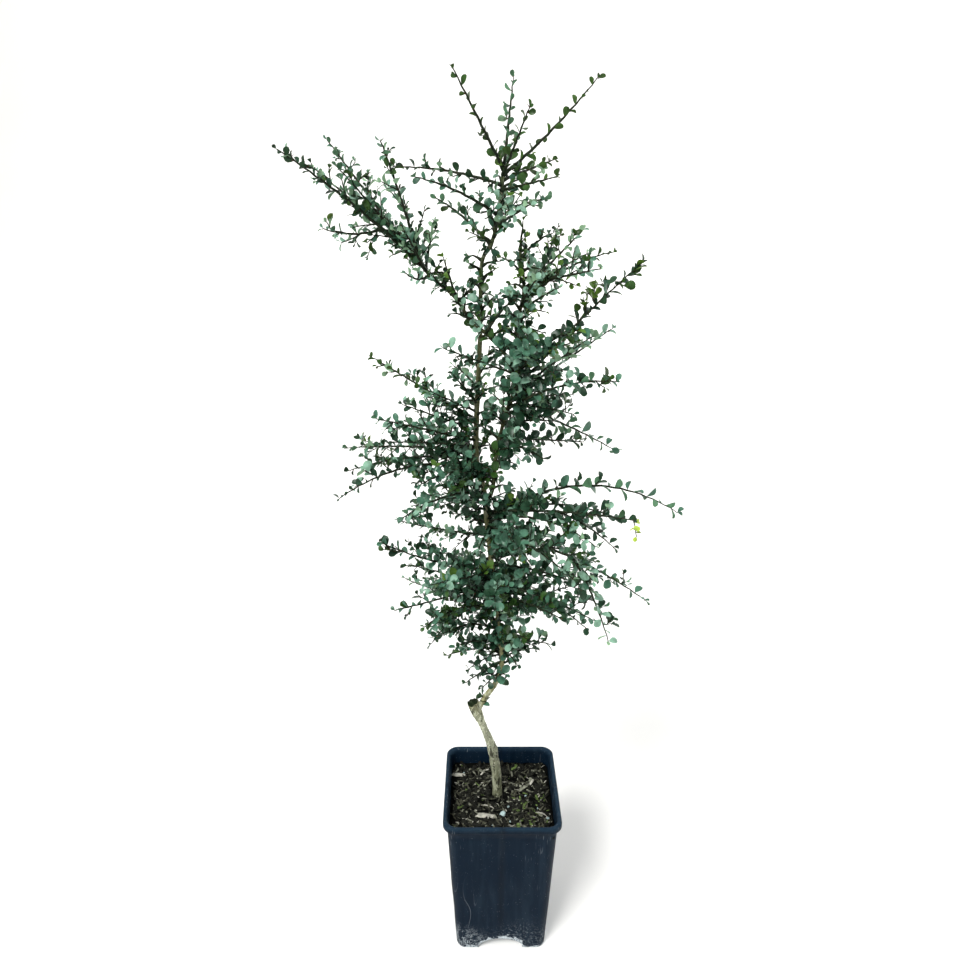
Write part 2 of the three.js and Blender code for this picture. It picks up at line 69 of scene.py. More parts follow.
# Pot mouldings, in millimetres
FOOT_ROUNDING = [(0, 3.2), (0.5, 1.5), (1.8, 0.5), (4, 0)]
RIM_PROFILE = [
    (-10.4, -4.4), (-10, -1.6), (-9.5, -0.7), (-8.6, 0), (-3.4, 0), (-1.6, -0.3), (-0.5, -1.1),
    (0, -2.3), (-0.5, -3.8), (-1.8, -5), (-4, -5.8),
]
WALL_ROWS = 16
INNER_ROWS = 12
ARCH_COLUMNS = 13
FLAT_COLUMNS = 4
CORNER_COLUMNS = 7
SIDE_COLUMNS = ARCH_COLUMNS + FLAT_COLUMNS + CORNER_COLUMNS
FLOOR_MARGIN = 0.6
LIP_GAP = 0.6
INNER_FLOOR_ROUNDING = 3
INNER_RIM_DEPTH = 8
SOIL_CLEARANCE = 0.4
SOIL_DEPTH = 60
SOIL_TAPER = 3
SOIL_ROUNDING = 10

# Chips and flakes on the mix: the seed of their shape, and length, width and thickness
CHIPS = [(3, (13, 7, 2.2)), (5, (8, 6, 3)), (8, (19, 5, 2))]
FLAKES = [(2, (11, 3, 1.1)), (7, (7, 3.6, 1)), (9, (15, 2.4, 1))]

# Pieces that stand out on the mix, as x, y, turn in degrees, and size
PALE_PIECES = [
    (-19, -18, -20, 1.6), (-22, -34, -8, 2.3), (-48, -42, 50, 1.2), (-62, 44, -5, 1.8),
    (55, -32, -25, 1.4), (46, 30, 60, 1.1), (26, 14, -20, 0.9),
]
LARGE_FLAKES = [(20, 26, -20, 1.7), (33, 20, 40, 1.6), (45, 34, 80, 1.6), (-20, 46, 140, 1.8)]
LARGE_PRILLS = [(2, -31, 50, 2.1), (64, -38, 0, 1), (10, -18, 40, 0.8), (12, -44, 0, 0.7)]
GREEN_SCRAPS = [
    (52, 0, 100, 1.8), (20, 60, 42, 1.7), (35, -14, 60, 1.6), (29, -42, 20, 1.5), (-58, -18, 30, 1),
    (48, -24, 130, 1.6), (40, -48, 150, 1.4),
]

# Where moss gathers on the mix, as left, right, front and back. Strewn pieces keep clear of the
# trunk and of the pot's wall, and are lifted less than those laid on top
GREEN_CORNER = (18, 64, -62, 8)
TRUNK_FOOT = (-5, 10)
CLEAR_OF_TRUNK = 11
WALL_GAP = 5
STREWN_LIFT = 0.4
LAID_LIFT = 1.6
MIX_SEED = 7

# Limbs, in millimetres: bends as (x, y, z) and half thickness as (height, radius)
STUB_BENDS = [
    (-5, 10, 213), (-6, 10, 245), (-9, 9, 270), (-13, 7, 298),
    (-19, 4, 320), (-29, 1, 350), (-34, 0, 364), (-39, -2, 381),
]
STUB_GIRTH = [
    (213, 7.6), (218, 7.2), (226, 6.9), (288, 6.6), (296, 7.1), (304, 6.4), (318, 5.6), (334, 4.7),
    (348, 5.2), (360, 6.8), (372, 7.8), (381, 7.9),
]
STEM_BENDS = [
    (-34, -1, 366), (-24, -3, 389), (-10, -2, 411), (-5, 0, 424), (-1, 2, 440), (0, 2, 456),
    (-8, 2, 501), (-6, 3, 516), (-12, 4, 555), (-19, 1, 625), (-24, 0, 675), (-26, 0, 690),
    (-34, 2, 725), (-34, 3, 780), (-30, 2, 868), (-29, 2, 930), (-27, 1, 956), (-18, 0, 971),
    (-10, 0, 1004), (-5, 0, 1048),
]
STEM_GIRTH = [(366, 4.2), (380, 3.9), (460, 3.4), (760, 3.2), (930, 2.3), (1048, 1.3)]
RIGHT_BENDS = [
    (-23, -1, 674), (-15, -9, 692), (-13, -13, 722), (-7, -18, 760), (-1, -22, 788),
    (7, -25, 812), (8, -25, 828), (10, -25, 846), (10, -22, 884), (16, -20, 916),
    (17, -20, 934), (12, -20, 966),
]
RIGHT_GIRTH = [(674, 2.8), (690, 2.4), (830, 2), (966, 1.2)]
LEFT_BENDS = [
    (9, -25, 845), (-2, -26, 857), (-19, -26, 876), (-35, -25, 889), (-46, -22, 902),
    (-54, -20, 914), (-72, -16, 930), (-83, -14, 939), (-95, -12, 952), (-106, -10, 962),
]
LEFT_GIRTH = [(844, 1.9), (914, 1.6), (962, 1.1)]

# The shoots: name, the limb that bears it, the height it leaves at, its compass turn in degrees
# (0 is right, 90 is back), its reach across, its rise, its arch, how long its side twigs are,
# and the fork that some have
SHOOTS = [
    ("top_left", "trunk", 1045, -140, 65, 85, 0, 10),
    ("top_right", "trunk", 1040, 20, 105, 95, -5, 10),
    ("top_back", "trunk", 1045, 80, 65, 95, 0, 15),
    ("top_front", "trunk", 1040, -70, 65, 55, 0, 10),
    ("head_right_back", "trunk", 1035, 50, 95, 25, 0, 15),
    ("head_right_front", "trunk", 1025, -50, 80, 10, 0, 15),
    ("head_right_low", "trunk", 1005, 55, 105, 15, 0, 20),
    ("head_front", "trunk", 990, -70, 90, 20, 0, 20),
    ("head_left_long", "trunk", 1030, 160, 125, 20, 5, 15),
    ("head_left_front", "trunk", 1000, -145, 100, 35, 5, 15),
    ("head_left_low", "trunk", 970, 130, 100, 50, 5, 20),
    ("fan_long", "left_leader", 960, -160, 130, 100, 5, 20, (0.25, 155, 75, 0, -5)),
    ("fan_middle", "left_leader", 955, 140, 135, 125, 0, 20),
    ("fan_upright", "left_leader", 950, -115, 70, 115, 5, 20),
    ("fan_small", "left_leader", 945, 85, 70, 50, 0, 10),
    ("leader_low", "left_leader", 940, -115, 50, 5, -5, 10),
    ("leader_bright", "left_leader", 915, -115, 30, 45, 0, 10),
    ("leader_cross", "left_leader", 880, -35, 40, 40, 5, 15),
    ("right_tip", "right_leader", 965, -60, 5, 30, 0, 10),
    ("right_high", "right_leader", 925, 40, 90, 60, 0, 20, (0.3, 75, 100, 45, 0)),
    ("right_spread", "right_leader", 910, -20, 95, 55, 10, 20, (0.35, -60, 80, 15, 0)),
    ("right_inner", "right_leader", 885, -75, 40, 25, 0, 15),
    ("bright_long", "right_leader", 815, -15, 130, 140, 5, 30),
    ("right_upper_back", "right_leader", 810, 40, 165, 60, 0, 30),
    ("right_upper_front", "right_leader", 795, -40, 135, 50, 10, 30),
    ("right_drooping", "right_leader", 800, 25, 150, -75, 5, 25),
    ("right_back_low", "right_leader", 760, 45, 160, -40, 0, 30),
    ("front_high", "right_leader", 850, -85, 80, 25, 5, 30),
    ("front_right", "right_leader", 740, -65, 105, 25, 10, 30),
    ("right_longest", "trunk", 650, 5, 240, 0, 40, 25),
    ("right_middle", "trunk", 660, -35, 190, 35, 5, 35, (0.5, 10, 70, -50, 5)),
    ("right_falling", "trunk", 630, -20, 195, -55, 15, 35, (0.55, -20, 50, -105, 10)),
    ("right_low_front", "trunk", 540, -50, 115, 20, 5, 35),
    ("right_low_back", "trunk", 550, 25, 125, -65, 15, 35),
    ("right_back_middle", "trunk", 610, 55, 140, -60, 5, 35),
    ("foot_right_front", "trunk", 480, -65, 70, 40, 5, 25),
    ("foot_right_back", "trunk", 460, 65, 55, -40, 5, 20),
    ("left_tuft", "right_leader", 835, -175, 80, 30, 0, 20),
    ("left_upper_front", "trunk", 795, -115, 60, 45, 0, 25),
    ("left_upper_back", "trunk", 775, 150, 150, 60, 0, 30),
    ("left_level_front", "trunk", 750, -140, 135, 50, 0, 30),
    ("left_long_back", "trunk", 735, 155, 190, -20, 5, 35),
    ("left_long_front", "trunk", 715, -155, 170, -10, 20, 35),
    ("left_front_tuft", "trunk", 700, -110, 105, 45, 5, 30),
    ("left_middle_front", "trunk", 685, -130, 140, 10, 10, 35),
    ("left_middle_back", "trunk", 670, 120, 130, -50, 5, 35),
    ("left_low_front", "trunk", 585, -150, 145, 65, -10, 35),
    ("left_low_back", "trunk", 560, 150, 140, -30, -15, 35),
    ("left_foot_front", "trunk", 520, -135, 125, 30, 15, 30, (0.3, 135, 90, -95, 10)),
    ("foot_left_front", "trunk", 470, -130, 80, 40, 5, 25),
    ("foot_left_back", "trunk", 455, 140, 60, -50, 5, 20),
    ("foot_lowest", "trunk", 430, -135, 35, -10, 0, 10),
    ("front_lower", "trunk", 565, -90, 120, 25, 10, 35),
    ("front_upper", "trunk", 640, -70, 130, 10, 10, 35),
    ("back_lower", "trunk", 530, 90, 125, 35, 10, 35),
]

# Between two neighbouring shoots no further apart than this grows a filling one, which the
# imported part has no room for. Its length is a share of theirs, by limb and height, and the
# head has none
WIDEST_FILLED = 90
HIGHEST_FILLED = 962
FULLNESS = {
    "trunk": [(430, 1), (480, 1.05), (575, 1.05), (640, 0.8), (690, 0.6), (725, 0.85), (745, 0.6)],
    "right_leader": [(740, 0.2), (780, 0.4), (820, 0.65), (880, 0.85), (960, 0.75)],
    "left_leader": [(880, 0.6), (940, 0.75), (960, 0.8)],
}
FILLING_TWIGS = 1.05

# How much further the twigs of each limb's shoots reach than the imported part's do, and those of
# single shoots that are thicker or thinner than the others
TWIG_GROWTH = {"trunk": 1, "right_leader": 1.1, "left_leader": 1.55}
OWN_TWIG_GROWTH = {
    "left_foot_front": 1.7, "left_low_front": 1.5, "left_long_back": 1.4, "right_middle": 0.65,
    "front_right": 0.65, "right_back_low": 0.7,
}

# Short spurs straight out of each limb: lowest and highest, space between two, least and most
# reach, and how long their own twigs are
SPURS = {
    "trunk": [
        (376, 410, 15, 4, 9, 0), (410, 448, 6, 8, 26, 8), (448, 700, 6.5, 16, 50, 16),
        (700, 860, 8, 10, 34, 12), (870, 1042, 6, 8, 24, 9),
    ],
    "right_leader": [
        (694, 850, 7, 14, 46, 16), (852, 900, 6, 12, 36, 12), (900, 966, 4.5, 14, 40, 14),
    ],
    "left_leader": [(850, 958, 5, 9, 28, 10)],
}

# Growth by part of the crown, and by kind of shoot where that differs: leaf length, space between
# two leaves and half thickness at the root in millimetres, how often each tint is dealt to a
# spray, and how much of their reach the twigs keep
TONES = ("deep", "blue_green", "grey_teal", "olive", "bright", "fresh")
LOWER = {"tones": (40, 26, 24, 8, 2, 0), "stem": 1.15, "twigs": 1}
GROWTH = {
    "right": {"leaf": 14.6, "spacing": 6.2, **LOWER},
    "left": {"leaf": 12.4, "spacing": 5.6, **LOWER},
    "upper": {"leaf": 11.4, "spacing": 6.2, "tones": (14, 30, 42, 10, 4, 0), "stem": 1.35, "twigs": 1},
    "foot": {"tones": (80, 14, 0, 6, 0, 0)},
    "young": {"leaf": 11.4, "spacing": 8.5, "tones": (16, 8, 14, 52, 10, 0)},
    "leafy": {"leaf": 13.6, "spacing": 5, "tones": (6, 6, 8, 46, 34, 0)},
    "sunny": {"tones": (14, 18, 26, 32, 10, 0)},
    "coarse": {"leaf": 16.4, "spacing": 8.2, "twigs": 0.6},
    "fresh": {"leaf": 9, "spacing": 4, "tones": (0, 0, 0, 0, 0, 1)},
}
UPPER_CROWN_FROM = 860
FOOT_OF_CROWN_TO = 455

# Kinds of shoot: those of this season, a leafy one with the brightest leaves, those with many
# olive leaves, and those with large leaves set well apart
KINDS = {
    "young": {"top_left", "top_right", "leader_bright", "right_tip"},
    "leafy": {"bright_long"},
    "sunny": {"right_high", "right_spread", "right_inner", "head_left_long", "head_right_back"},
    "coarse": {"right_drooping", "right_upper_back", "right_longest"},
}

# The shoot whose tip has just opened its first yellow-green leaves, and how far these hang
FRESH_SHOOT = "right_middle"
FRESH_DROOP = -18

# Angles are in degrees. A twig grows at every third node of a stem, and grows shorter along it
TWIG_EVERY = 3
TWIG_ANGLE = 50
TWIG_TAPER = 0.8
SHORTEST_TWIG = 7
DEEPEST_ORDER = 2
LEAF_ANGLE = 58
THORN_ANGLE = 68
THORN_SHARE = 0.4
BUD_ANGLE = 50
BUD_SHARE = 0.3
UP_PULL = 0.18

# A stem's bend at each node as a share of its half thickness, the half thickness of its tip, and
# how much thicker a shoot is where it leaves its limb
NODE_BEND = 0.22
TIP_RADIUS = 0.6
ROOT_SWELL = (1.8, 1.12)

# Leaf outline as (share of length, half width) and its rise along the middle
LEAF_ROWS = [(0, 0.015), (0.1, 0.04), (0.3, 0.22), (0.55, 0.345), (0.78, 0.31), (0.93, 0.19), (1, 0.06)]
LEAF_RISE = [0, 0.015, 0.045, 0.065, 0.05, 0.01, -0.02]
LEAF_THICKNESS = 0.035

# The three shapes of leaf: width, depth of the notch at the tip, and how far it is folded
LEAF_SHAPES = [(0.95, 0.05, 0.3), (0.78, 0.02, 0.42), (1.04, 0.04, 0.16)]

# The stub's hollow end, as (width of a step, its depth), and how far from it the rim is ragged
HOLLOW_STEPS = [(1.5, 0.5), (1.2, 2.6), (1.6, 1.4), (1.6, 0.6)]
RAGGED_REACH = 12

# Marks on the bark, in metres: the graft, the pale scar on the stem, and the middles of the
# stub's broken end and of the painted shadow on the stub's left side below it
GRAFT_HEIGHT = 388.5 * MM
SCAR_HEIGHT = 668 * MM
BROKEN_SPOT = (-43 * MM, 0, 384 * MM)
PAINTED_SHADOW_SPOT = (-47 * MM, -1 * MM, 371 * MM)

# The pot's dustiest corner, and the colour of the painted shade down the shallow valley in each of its
# faces
DUSTY_CORNER = (-62 * MM, -64 * MM, 0)
VALLEY_SHADE = (12, 19, 28)

# The backdrop, in metres: how far the floor is flat, how wide its sweep is, and its height
FLOOR_REACH = 3
SWEEP = 1.5
SWEEP_STEPS = 8
WALL_TOP = 4


# Colours are given as they look on a screen, from 0 to 255, and worked out as light
def shade(red, green, blue):
    def light(value):
        share = value / 255
        return share / 12.92 if share <= 0.04045 else ((share + 0.055) / 1.055) ** 2.4

    return (light(red), light(green), light(blue))


def length_field(name, description, millimetres):
    return bpy.props.FloatProperty(
        name=name, description=description, default=millimetres * MM, min=0, unit="LENGTH", precision=4
    )


def count_field(name, description, count):
    return bpy.props.IntProperty(name=name, description=description, default=count)


def colour_field(name, description, red, green, blue):
    return bpy.props.FloatVectorProperty(
        name=name, description=description, default=shade(red, green, blue), min=0, max=1, subtype="COLOR"
    )


class PotSettings(bpy.types.PropertyGroup):
    """Sizes and colours of the square pot"""

    height: length_field("Height", "Height of the pot", RIM_CORNER.z / MM)
    rim_width: length_field("Rim width", "Width across the rim", 2 * RIM_CORNER.x / MM)
    wall_top_width: length_field("Wall width", "Width of the wall just under the lip", 150)
    foot_width: length_field("Foot width", "Width across the foot", 128)
    lip_depth: length_field("Lip depth", "Depth of the turned lip", 10)
    wall: length_field("Wall", "Thickness of the wall", 2)
    corner_radius: length_field("Corner radius", "Radius of the upright corners at the foot", 13)
    arch_width: length_field("Arch width", "Width of the arch in each face's foot", 66)
    arch_height: length_field("Arch height", "Height of the arch in each face's foot", 18)
    plastic: colour_field("Plastic", "Moulded dark blue-grey plastic", 8, 23, 37)
    # Painted highlight along the top of the rim, lighter than the plastic
    rim_highlight: colour_field("Worn rim", "Where hands and sun have lightened the rim", 32, 50, 65)
    bloom: colour_field("Bloom", "Thin greyish film on the plastic", 38, 52, 64)
    dust: colour_field("Dust", "Dried dirt and scuffs", 196, 206, 212)


class SoilSettings(bpy.types.PropertyGroup):
    """The bark mix in the pot"""

    level: length_field("Level", "Height of the mix above the ground", SOIL_CORNER.z / MM)
    relief: length_field("Relief", "Height of its lumps", 2.4)
    bark_chips: count_field("Bark chips", "Pieces of bark", 440)
    flakes: count_field("Flakes", "Flat flakes of grey wood", 170)
    pale_chips: count_field("Pale chips", "Slivers of pale wood", 70)
    prills: count_field("Prills", "White grains of feed", 9)
    mosses: count_field("Mosses", "Small tufts of moss", 38)
    mix: colour_field("Mix", "Damp fine mix between the chips", 3, 4, 2)
    bark: colour_field("Bark", "Chips of bark", 22, 23, 18)
    flake: colour_field("Flakes", "Flat flakes of grey wood", 120, 122, 108)
    shred: colour_field("Shreds", "Shreds of weathered bark", 70, 71, 59)
    pale: colour_field("Pale wood", "Slivers of pale wood", 174, 173, 162)
    prill: colour_field("Prill", "Feed grains", 150, 170, 170)
    moss: colour_field("Moss", "Moss and green scraps", 94, 114, 64)


class BarkSettings(bpy.types.PropertyGroup):
    """Bark of the trunk and the leaders"""

    relief: length_field("Relief", "Depth of the bark's fissures", 0.55)
    foot: colour_field("Foot bark", "Old grey-tan bark at the foot", 136, 139, 119)
    stem: colour_field("Stem bark", "Olive-tan bark of the stem", 140, 138, 98)
    young: colour_field("Young bark", "Green bark of the leaders and the top", 58, 66, 42)
    fissure: colour_field("Fissure", "Dark bottoms of the fissures", 30, 30, 24)
    stain: colour_field("Stain", "Olive algae low on the trunk", 92, 95, 70)
    # This colour is also used for the graft ring and for a painted shadow on the stub's left side, below
    # its end
    broken: colour_field("Broken wood", "Mossy old wood at the stub's end", 22, 34, 14)


class FoliageSettings(bpy.types.PropertyGroup):
    """Growth and colours of the shoots"""

    seed: count_field("Seed", "Start of the growth's random numbers", 20)
    leaf_size: bpy.props.FloatProperty(
        name="Leaf size", description="Factor on every leaf", default=1, min=0.2, max=3, subtype="FACTOR"
    )
    twig_radius: length_field("Twig radius", "Half thickness of a side twig at its root", 0.75)
    thorn: length_field("Thorn", "Length of a thorn", 6)
    deep: colour_field("Deep green", "Old leaves in the lower crown", 27, 57, 38)
    blue_green: colour_field("Blue green", "Old leaves with a blue bloom", 64, 103, 83)
    grey_teal: colour_field("Grey teal", "Paler leaves of the upper crown", 114, 150, 130)
    olive: colour_field("Olive", "Leaves that are nearly grown", 42, 72, 28)
    bright: colour_field("Bright green", "New leaves", 72, 104, 38)
    fresh: colour_field("Fresh green", "Leaves that have just opened", 152, 176, 62)
    twig: colour_field("Twig", "Dark green bark of the shoots", 30, 40, 25)
    spine: colour_field("Thorn and bud", "Dark thorns and buds", 70, 48, 34)


class StageSettings(bpy.types.PropertyGroup):
    """Camera, lights and floor"""

    eye: bpy.props.FloatVectorProperty(
        name="Eye", description="Place of the camera", default=(-0.030, -0.816, 0.998), subtype="XYZ"
    )
    tilt: bpy.props.FloatProperty(
        name="Tilt", description="How far the camera looks down", default=math.radians(20), subtype="ANGLE"
    )
    lens: bpy.props.FloatProperty(name="Lens", description="Focal length in millimetres", default=27.04)
    key: bpy.props.FloatProperty(name="Key light", description="Strength of the key light", default=3.9)
    sky: bpy.props.FloatProperty(name="Sky light", description="Strength of the even light", default=0.4)
    floor: colour_field("Floor", "Pale floor and backdrop", 244, 244, 243)


# Materials
class Wire:
    """A node's output. Sums, products and powers of wires add the Math nodes they stand for."""

    def __init__(self, finish, socket):
        self.finish = finish
        self.socket = socket

    def maths(self, operation, *values):
        return self.finish.node("ShaderNodeMath", {"operation": operation}, values)

    def __add__(self, other):
        return self.maths("ADD", self, other)

    def __sub__(self, other):
        return self.maths("SUBTRACT", self, other)

    def __rsub__(self, other):
        return self.maths("SUBTRACT", other, self)

    def __mul__(self, other):
        return self.maths("MULTIPLY", self, other)

    def __truediv__(self, other):
        return self.maths("DIVIDE", self, other)

    def __pow__(self, other):
        return self.maths("POWER", self, other)

    def __abs__(self):
        return self.maths("ABSOLUTE", self)

    __radd__ = __add__
    __rmul__ = __mul__

    def least(self, other):
        return self.maths("MINIMUM", self, other)

    def most(self, other):
        return self.maths("MAXIMUM", self, other)

    def between(self, low, high):
        """0 at low and 1 at high, eased in between. low may be the larger of the two."""
        settings = {"interpolation_type": "SMOOTHSTEP"}
        return self.finish.node("ShaderNodeMapRange", settings, {"Value": self, 1: low, 2: high})


class Finish:
    """A material in the making, with one way to add any node."""

    def __init__(self, name, colour, roughness, specular):
        self.material = bpy.data.materials.new(name)
        self.material.use_nodes = True
        self.material.diffuse_color = (*colour, 1)
        self.tree = self.material.node_tree
        self.shader = self.tree.nodes["Principled BSDF"]
        self.shader.inputs["Base Color"].default_value = (*colour, 1)
        self.shader.inputs["Roughness"].default_value = roughness
        self.shader.inputs["Specular IOR Level"].default_value = specular

    def node(self, kind, settings=None, values=(), output=0):
        made = self.tree.nodes.new(kind)
        for key, value in (settings or {}).items():
            setattr(made, key, value)
        pairs = values.items() if isinstance(values, dict) else enumerate(values)
        for key, value in pairs:
            self.feed(made.inputs[key], value)
        return Wire(self, made.outputs[output])

    def feed(self, socket, value):
        if isinstance(value, Wire):
            self.tree.links.new(value.socket, socket)
        else:
            socket.default_value = value

    def place(self, axis=None):
        """The point's place on the object in metres, or one axis of it."""
        whole = self.node("ShaderNodeTexCoord", output="Object")
        if axis is None:
            return whole
        return self.node("ShaderNodeSeparateXYZ", values=[whole], output=axis)

    def stretched(self, scale, turn=(0, 0, 0)):
        values = {"Vector": self.place(), "Rotation": turn, "Scale": scale}
        return self.node("ShaderNodeMapping", values=values)

    def speckle(self, scale, detail, roughness, turn=(0, 0, 0)):
        """Noise of one scale, or stretched by its three scales and turned."""
        if isinstance(scale, tuple):
            values = {"Vector": self.stretched(scale, turn), "Scale": 1}
        else:
            values = {"Vector": self.place(), "Scale": scale}
        return self.node("ShaderNodeTexNoise", values={**values, "Detail": detail, "Roughness": roughness})

    def distance_from(self, spot):
        """How far the point is from a spot on the object."""
        return self.node("ShaderNodeVectorMath", {"operation": "DISTANCE"}, [self.place(), spot], output=1)

    def mixed(self, share, first, second):
        """A colour between two, where share 0 gives the first."""
        ends = [value if isinstance(value, Wire) else (*value, 1) for value in (first, second)]
        values = {0: share, 6: ends[0], 7: ends[1]}
        return self.node("ShaderNodeMix", {"data_type": "RGBA"}, values, output=2)

    def bumped(self, height, strength, distance, under=None):
        values = {"Height": height, "Strength": strength, "Distance": distance}
        if under:
            values["Normal"] = under
        return self.node("ShaderNodeBump", values=values)

    def finished(self, colour, roughness, normal):
        for key, value in (("Base Color", colour), ("Roughness", roughness), ("Normal", normal)):
            self.feed(self.shader.inputs[key], value)
        return self.material


def toned(colour, factor, lift=0):
    """A colour made paler or darker."""
    return tuple(min(1, value * factor + lift) for value in colour)


def arch_edge(pot, along_face, z, rag):
    """A ragged line around the arch in each face's foot."""
    share = (along_face / (pot.arch_width / 2)).least(1)
    above_arch = z - ((1 - share * share) ** 0.5) * pot.arch_height
    return (above_arch + 0.03 * (rag - 0.5)).between(7.5 * MM, 4.5 * MM)


def dust_threads(finish):
    """Thin crossing threads of dried dirt"""
    threads = abs(finish.speckle((190, 190, 70), 3, 0.7, (0, 0.5, 0.3)) - 0.5)
    crossed = abs(finish.speckle((70, 70, 190), 3, 0.7, (0.4, -0.3, 0)) - 0.5)
    return threads.between(0.02, 0.006).most(crossed.between(0.02, 0.006))


def dusty_web(finish, threads, rag, x, y, z):
    """Threads in the dustiest corner, and single ones up the face beside it"""
    in_corner = finish.distance_from(DUSTY_CORNER).between(58 * MM, 18 * MM)
    web = threads * in_corner * rag.between(0.38, 0.56)
    strands = abs(finish.speckle((70, 70, 13), 0, 0.5, (0.25, 0.35, 0)) - 0.5)
    up_side = x.between(-30 * MM, -50 * MM) * y.between(-46 * MM, -54 * MM) * z.between(160 * MM, 40 * MM)
    return web.most(strands.between(0.012, 0.003) * up_side * 0.35)


def scrapes(finish, cloud, z):
    """Short scratches on the upper half of the pot"""
    strokes = finish.speckle((620, 620, 46), 1, 0.4, (0.5, 0.35, 0))
    crossing = finish.speckle((540, 540, 40), 1, 0.4, (-0.6, 0.5, 0))
    scraped = strokes.between(0.7, 0.74).most(crossing.between(0.71, 0.75)) * cloud.between(0.48, 0.6)
    return scraped * z.between(90 * MM, 190 * MM)


def pot_plastic(pot):
    """Dark plastic, a patchy painted highlight on the rim, painted shade in each face's valley, worn
    arches, dust low down and scratches higher up
    """
    finish = Finish("pot_plastic", pot.plastic, 0.42, 0.04)
    x, y, z = (finish.place(axis) for axis in "XYZ")
    along_face = abs(x).least(abs(y))
    cloud = finish.speckle(9, 4, 0.6)
    grain = finish.speckle(420, 4, 0.7)
    streak = finish.speckle((90, 90, 7), 3, 0.6)
    rag = finish.speckle(130, 3, 0.6)
    threads = dust_threads(finish)

    # The top band of the rim, where a patchy highlight is painted
    rim_highlight_band = z.between(pot.height - 8 * MM, pot.height - 0.5 * MM)
    fringe = arch_edge(pot, along_face, z, rag) * grain.between(0.4, 0.52).most(threads)
    web = dusty_web(finish, threads, rag, x, y, z)
    low = z.between(75 * MM, 8 * MM) * cloud.between(0.46, 0.68) * grain.between(0.5, 0.66)
    flecks = finish.speckle(900, 1, 0.4).between(0.76, 0.8)
    pale = (fringe * 0.85).most(web * 0.7).most(low * 0.25)
    pale = pale.most(scrapes(finish, cloud, z) * 0.2).most(flecks * 0.4)
    veil = streak.between(0.46, 0.7) * 0.26 + cloud.between(0.4, 0.75) * 0.1
    # Painted shade down the shallow valley in the middle of each face, fading out towards the foot
    valley_shade = along_face.between(7 * MM, 1 * MM) * z.between(24 * MM, 60 * MM)

    # Painted highlight on the top of the rim, made patchy by the cloud noise
    colour = finish.mixed(rim_highlight_band * (0.35 + 0.6 * cloud), pot.plastic, pot.rim_highlight)
    colour = finish.mixed(veil, colour, pot.bloom)
    # Half-strength painted shade in each face's valley
    colour = finish.mixed(valley_shade * 0.5, colour, shade(*VALLEY_SHADE))
    colour = finish.mixed(pale, colour, pot.dust)
    roughness = (0.38 + 0.2 * cloud + 0.3 * pale).least(0.95)
    ribs = finish.node(
        "ShaderNodeTexWave", {"bands_direction": "X"}, {"Vector": finish.stretched((1, 0, 0)), "Scale": 26}
    )
    skin = finish.bumped(finish.speckle(260, 3, 0.6), 0.12, 0.4 * MM)
    return finish.finished(colour, roughness, finish.bumped(ribs, 0.12, 0.5 * MM, skin))


def crumbly(name, colour, dark_share, scale, roughness=0.9):
    """Rough matter whose colour wanders around one shade, with darker hollows"""
    finish = Finish(name, colour, roughness, 0.06)
    grain = finish.speckle(scale, 4, 0.65)
    patches = finish.speckle(scale / 7, 2, 0.5)
    dark = toned(colour, dark_share)
    mottled = finish.mixed(patches.between(0.35, 0.65), dark, toned(colour, 1.5, 0.002))
    mottled = finish.mixed(grain.between(0.3, 0.62), dark, mottled)
    return finish.finished(mottled, roughness - 0.2 * patches, finish.bumped(grain, 0.5, 0.8 * MM))


def fibrous(name, colour, scale):
    """Wood or bark with long fibres"""
    finish = Finish(name, colour, 0.85, 0.1)
    fibres = finish.speckle(scale, 4, 0.6)
    patches = finish.speckle(160, 2, 0.5)
    mottled = finish.mixed(fibres.between(0.36, 0.66), toned(colour, 0.42), toned(colour, 1.45, 0.008))
    mottled = finish.mixed(patches.between(0.4, 0.7) * 0.6, mottled, colour)
    return finish.finished(mottled, 0.75 + 0.2 * fibres, finish.bumped(fibres, 0.6, 0.5 * MM))


def stub_end_and_painted_shadow(finish, rag):
    """The stub's broken end, and a painted shadow on its left side below it"""
    ragged = finish.distance_from(BROKEN_SPOT) + 0.012 * (rag - 0.5)
    # A painted shadow on the stub's left side, just below its end
    painted_shadow = finish.distance_from(PAINTED_SHADOW_SPOT) + 0.008 * (rag - 0.5)
    return ragged.between(11 * MM, 9 * MM).most(painted_shadow.between(8.5 * MM, 6 * MM) * 0.9)


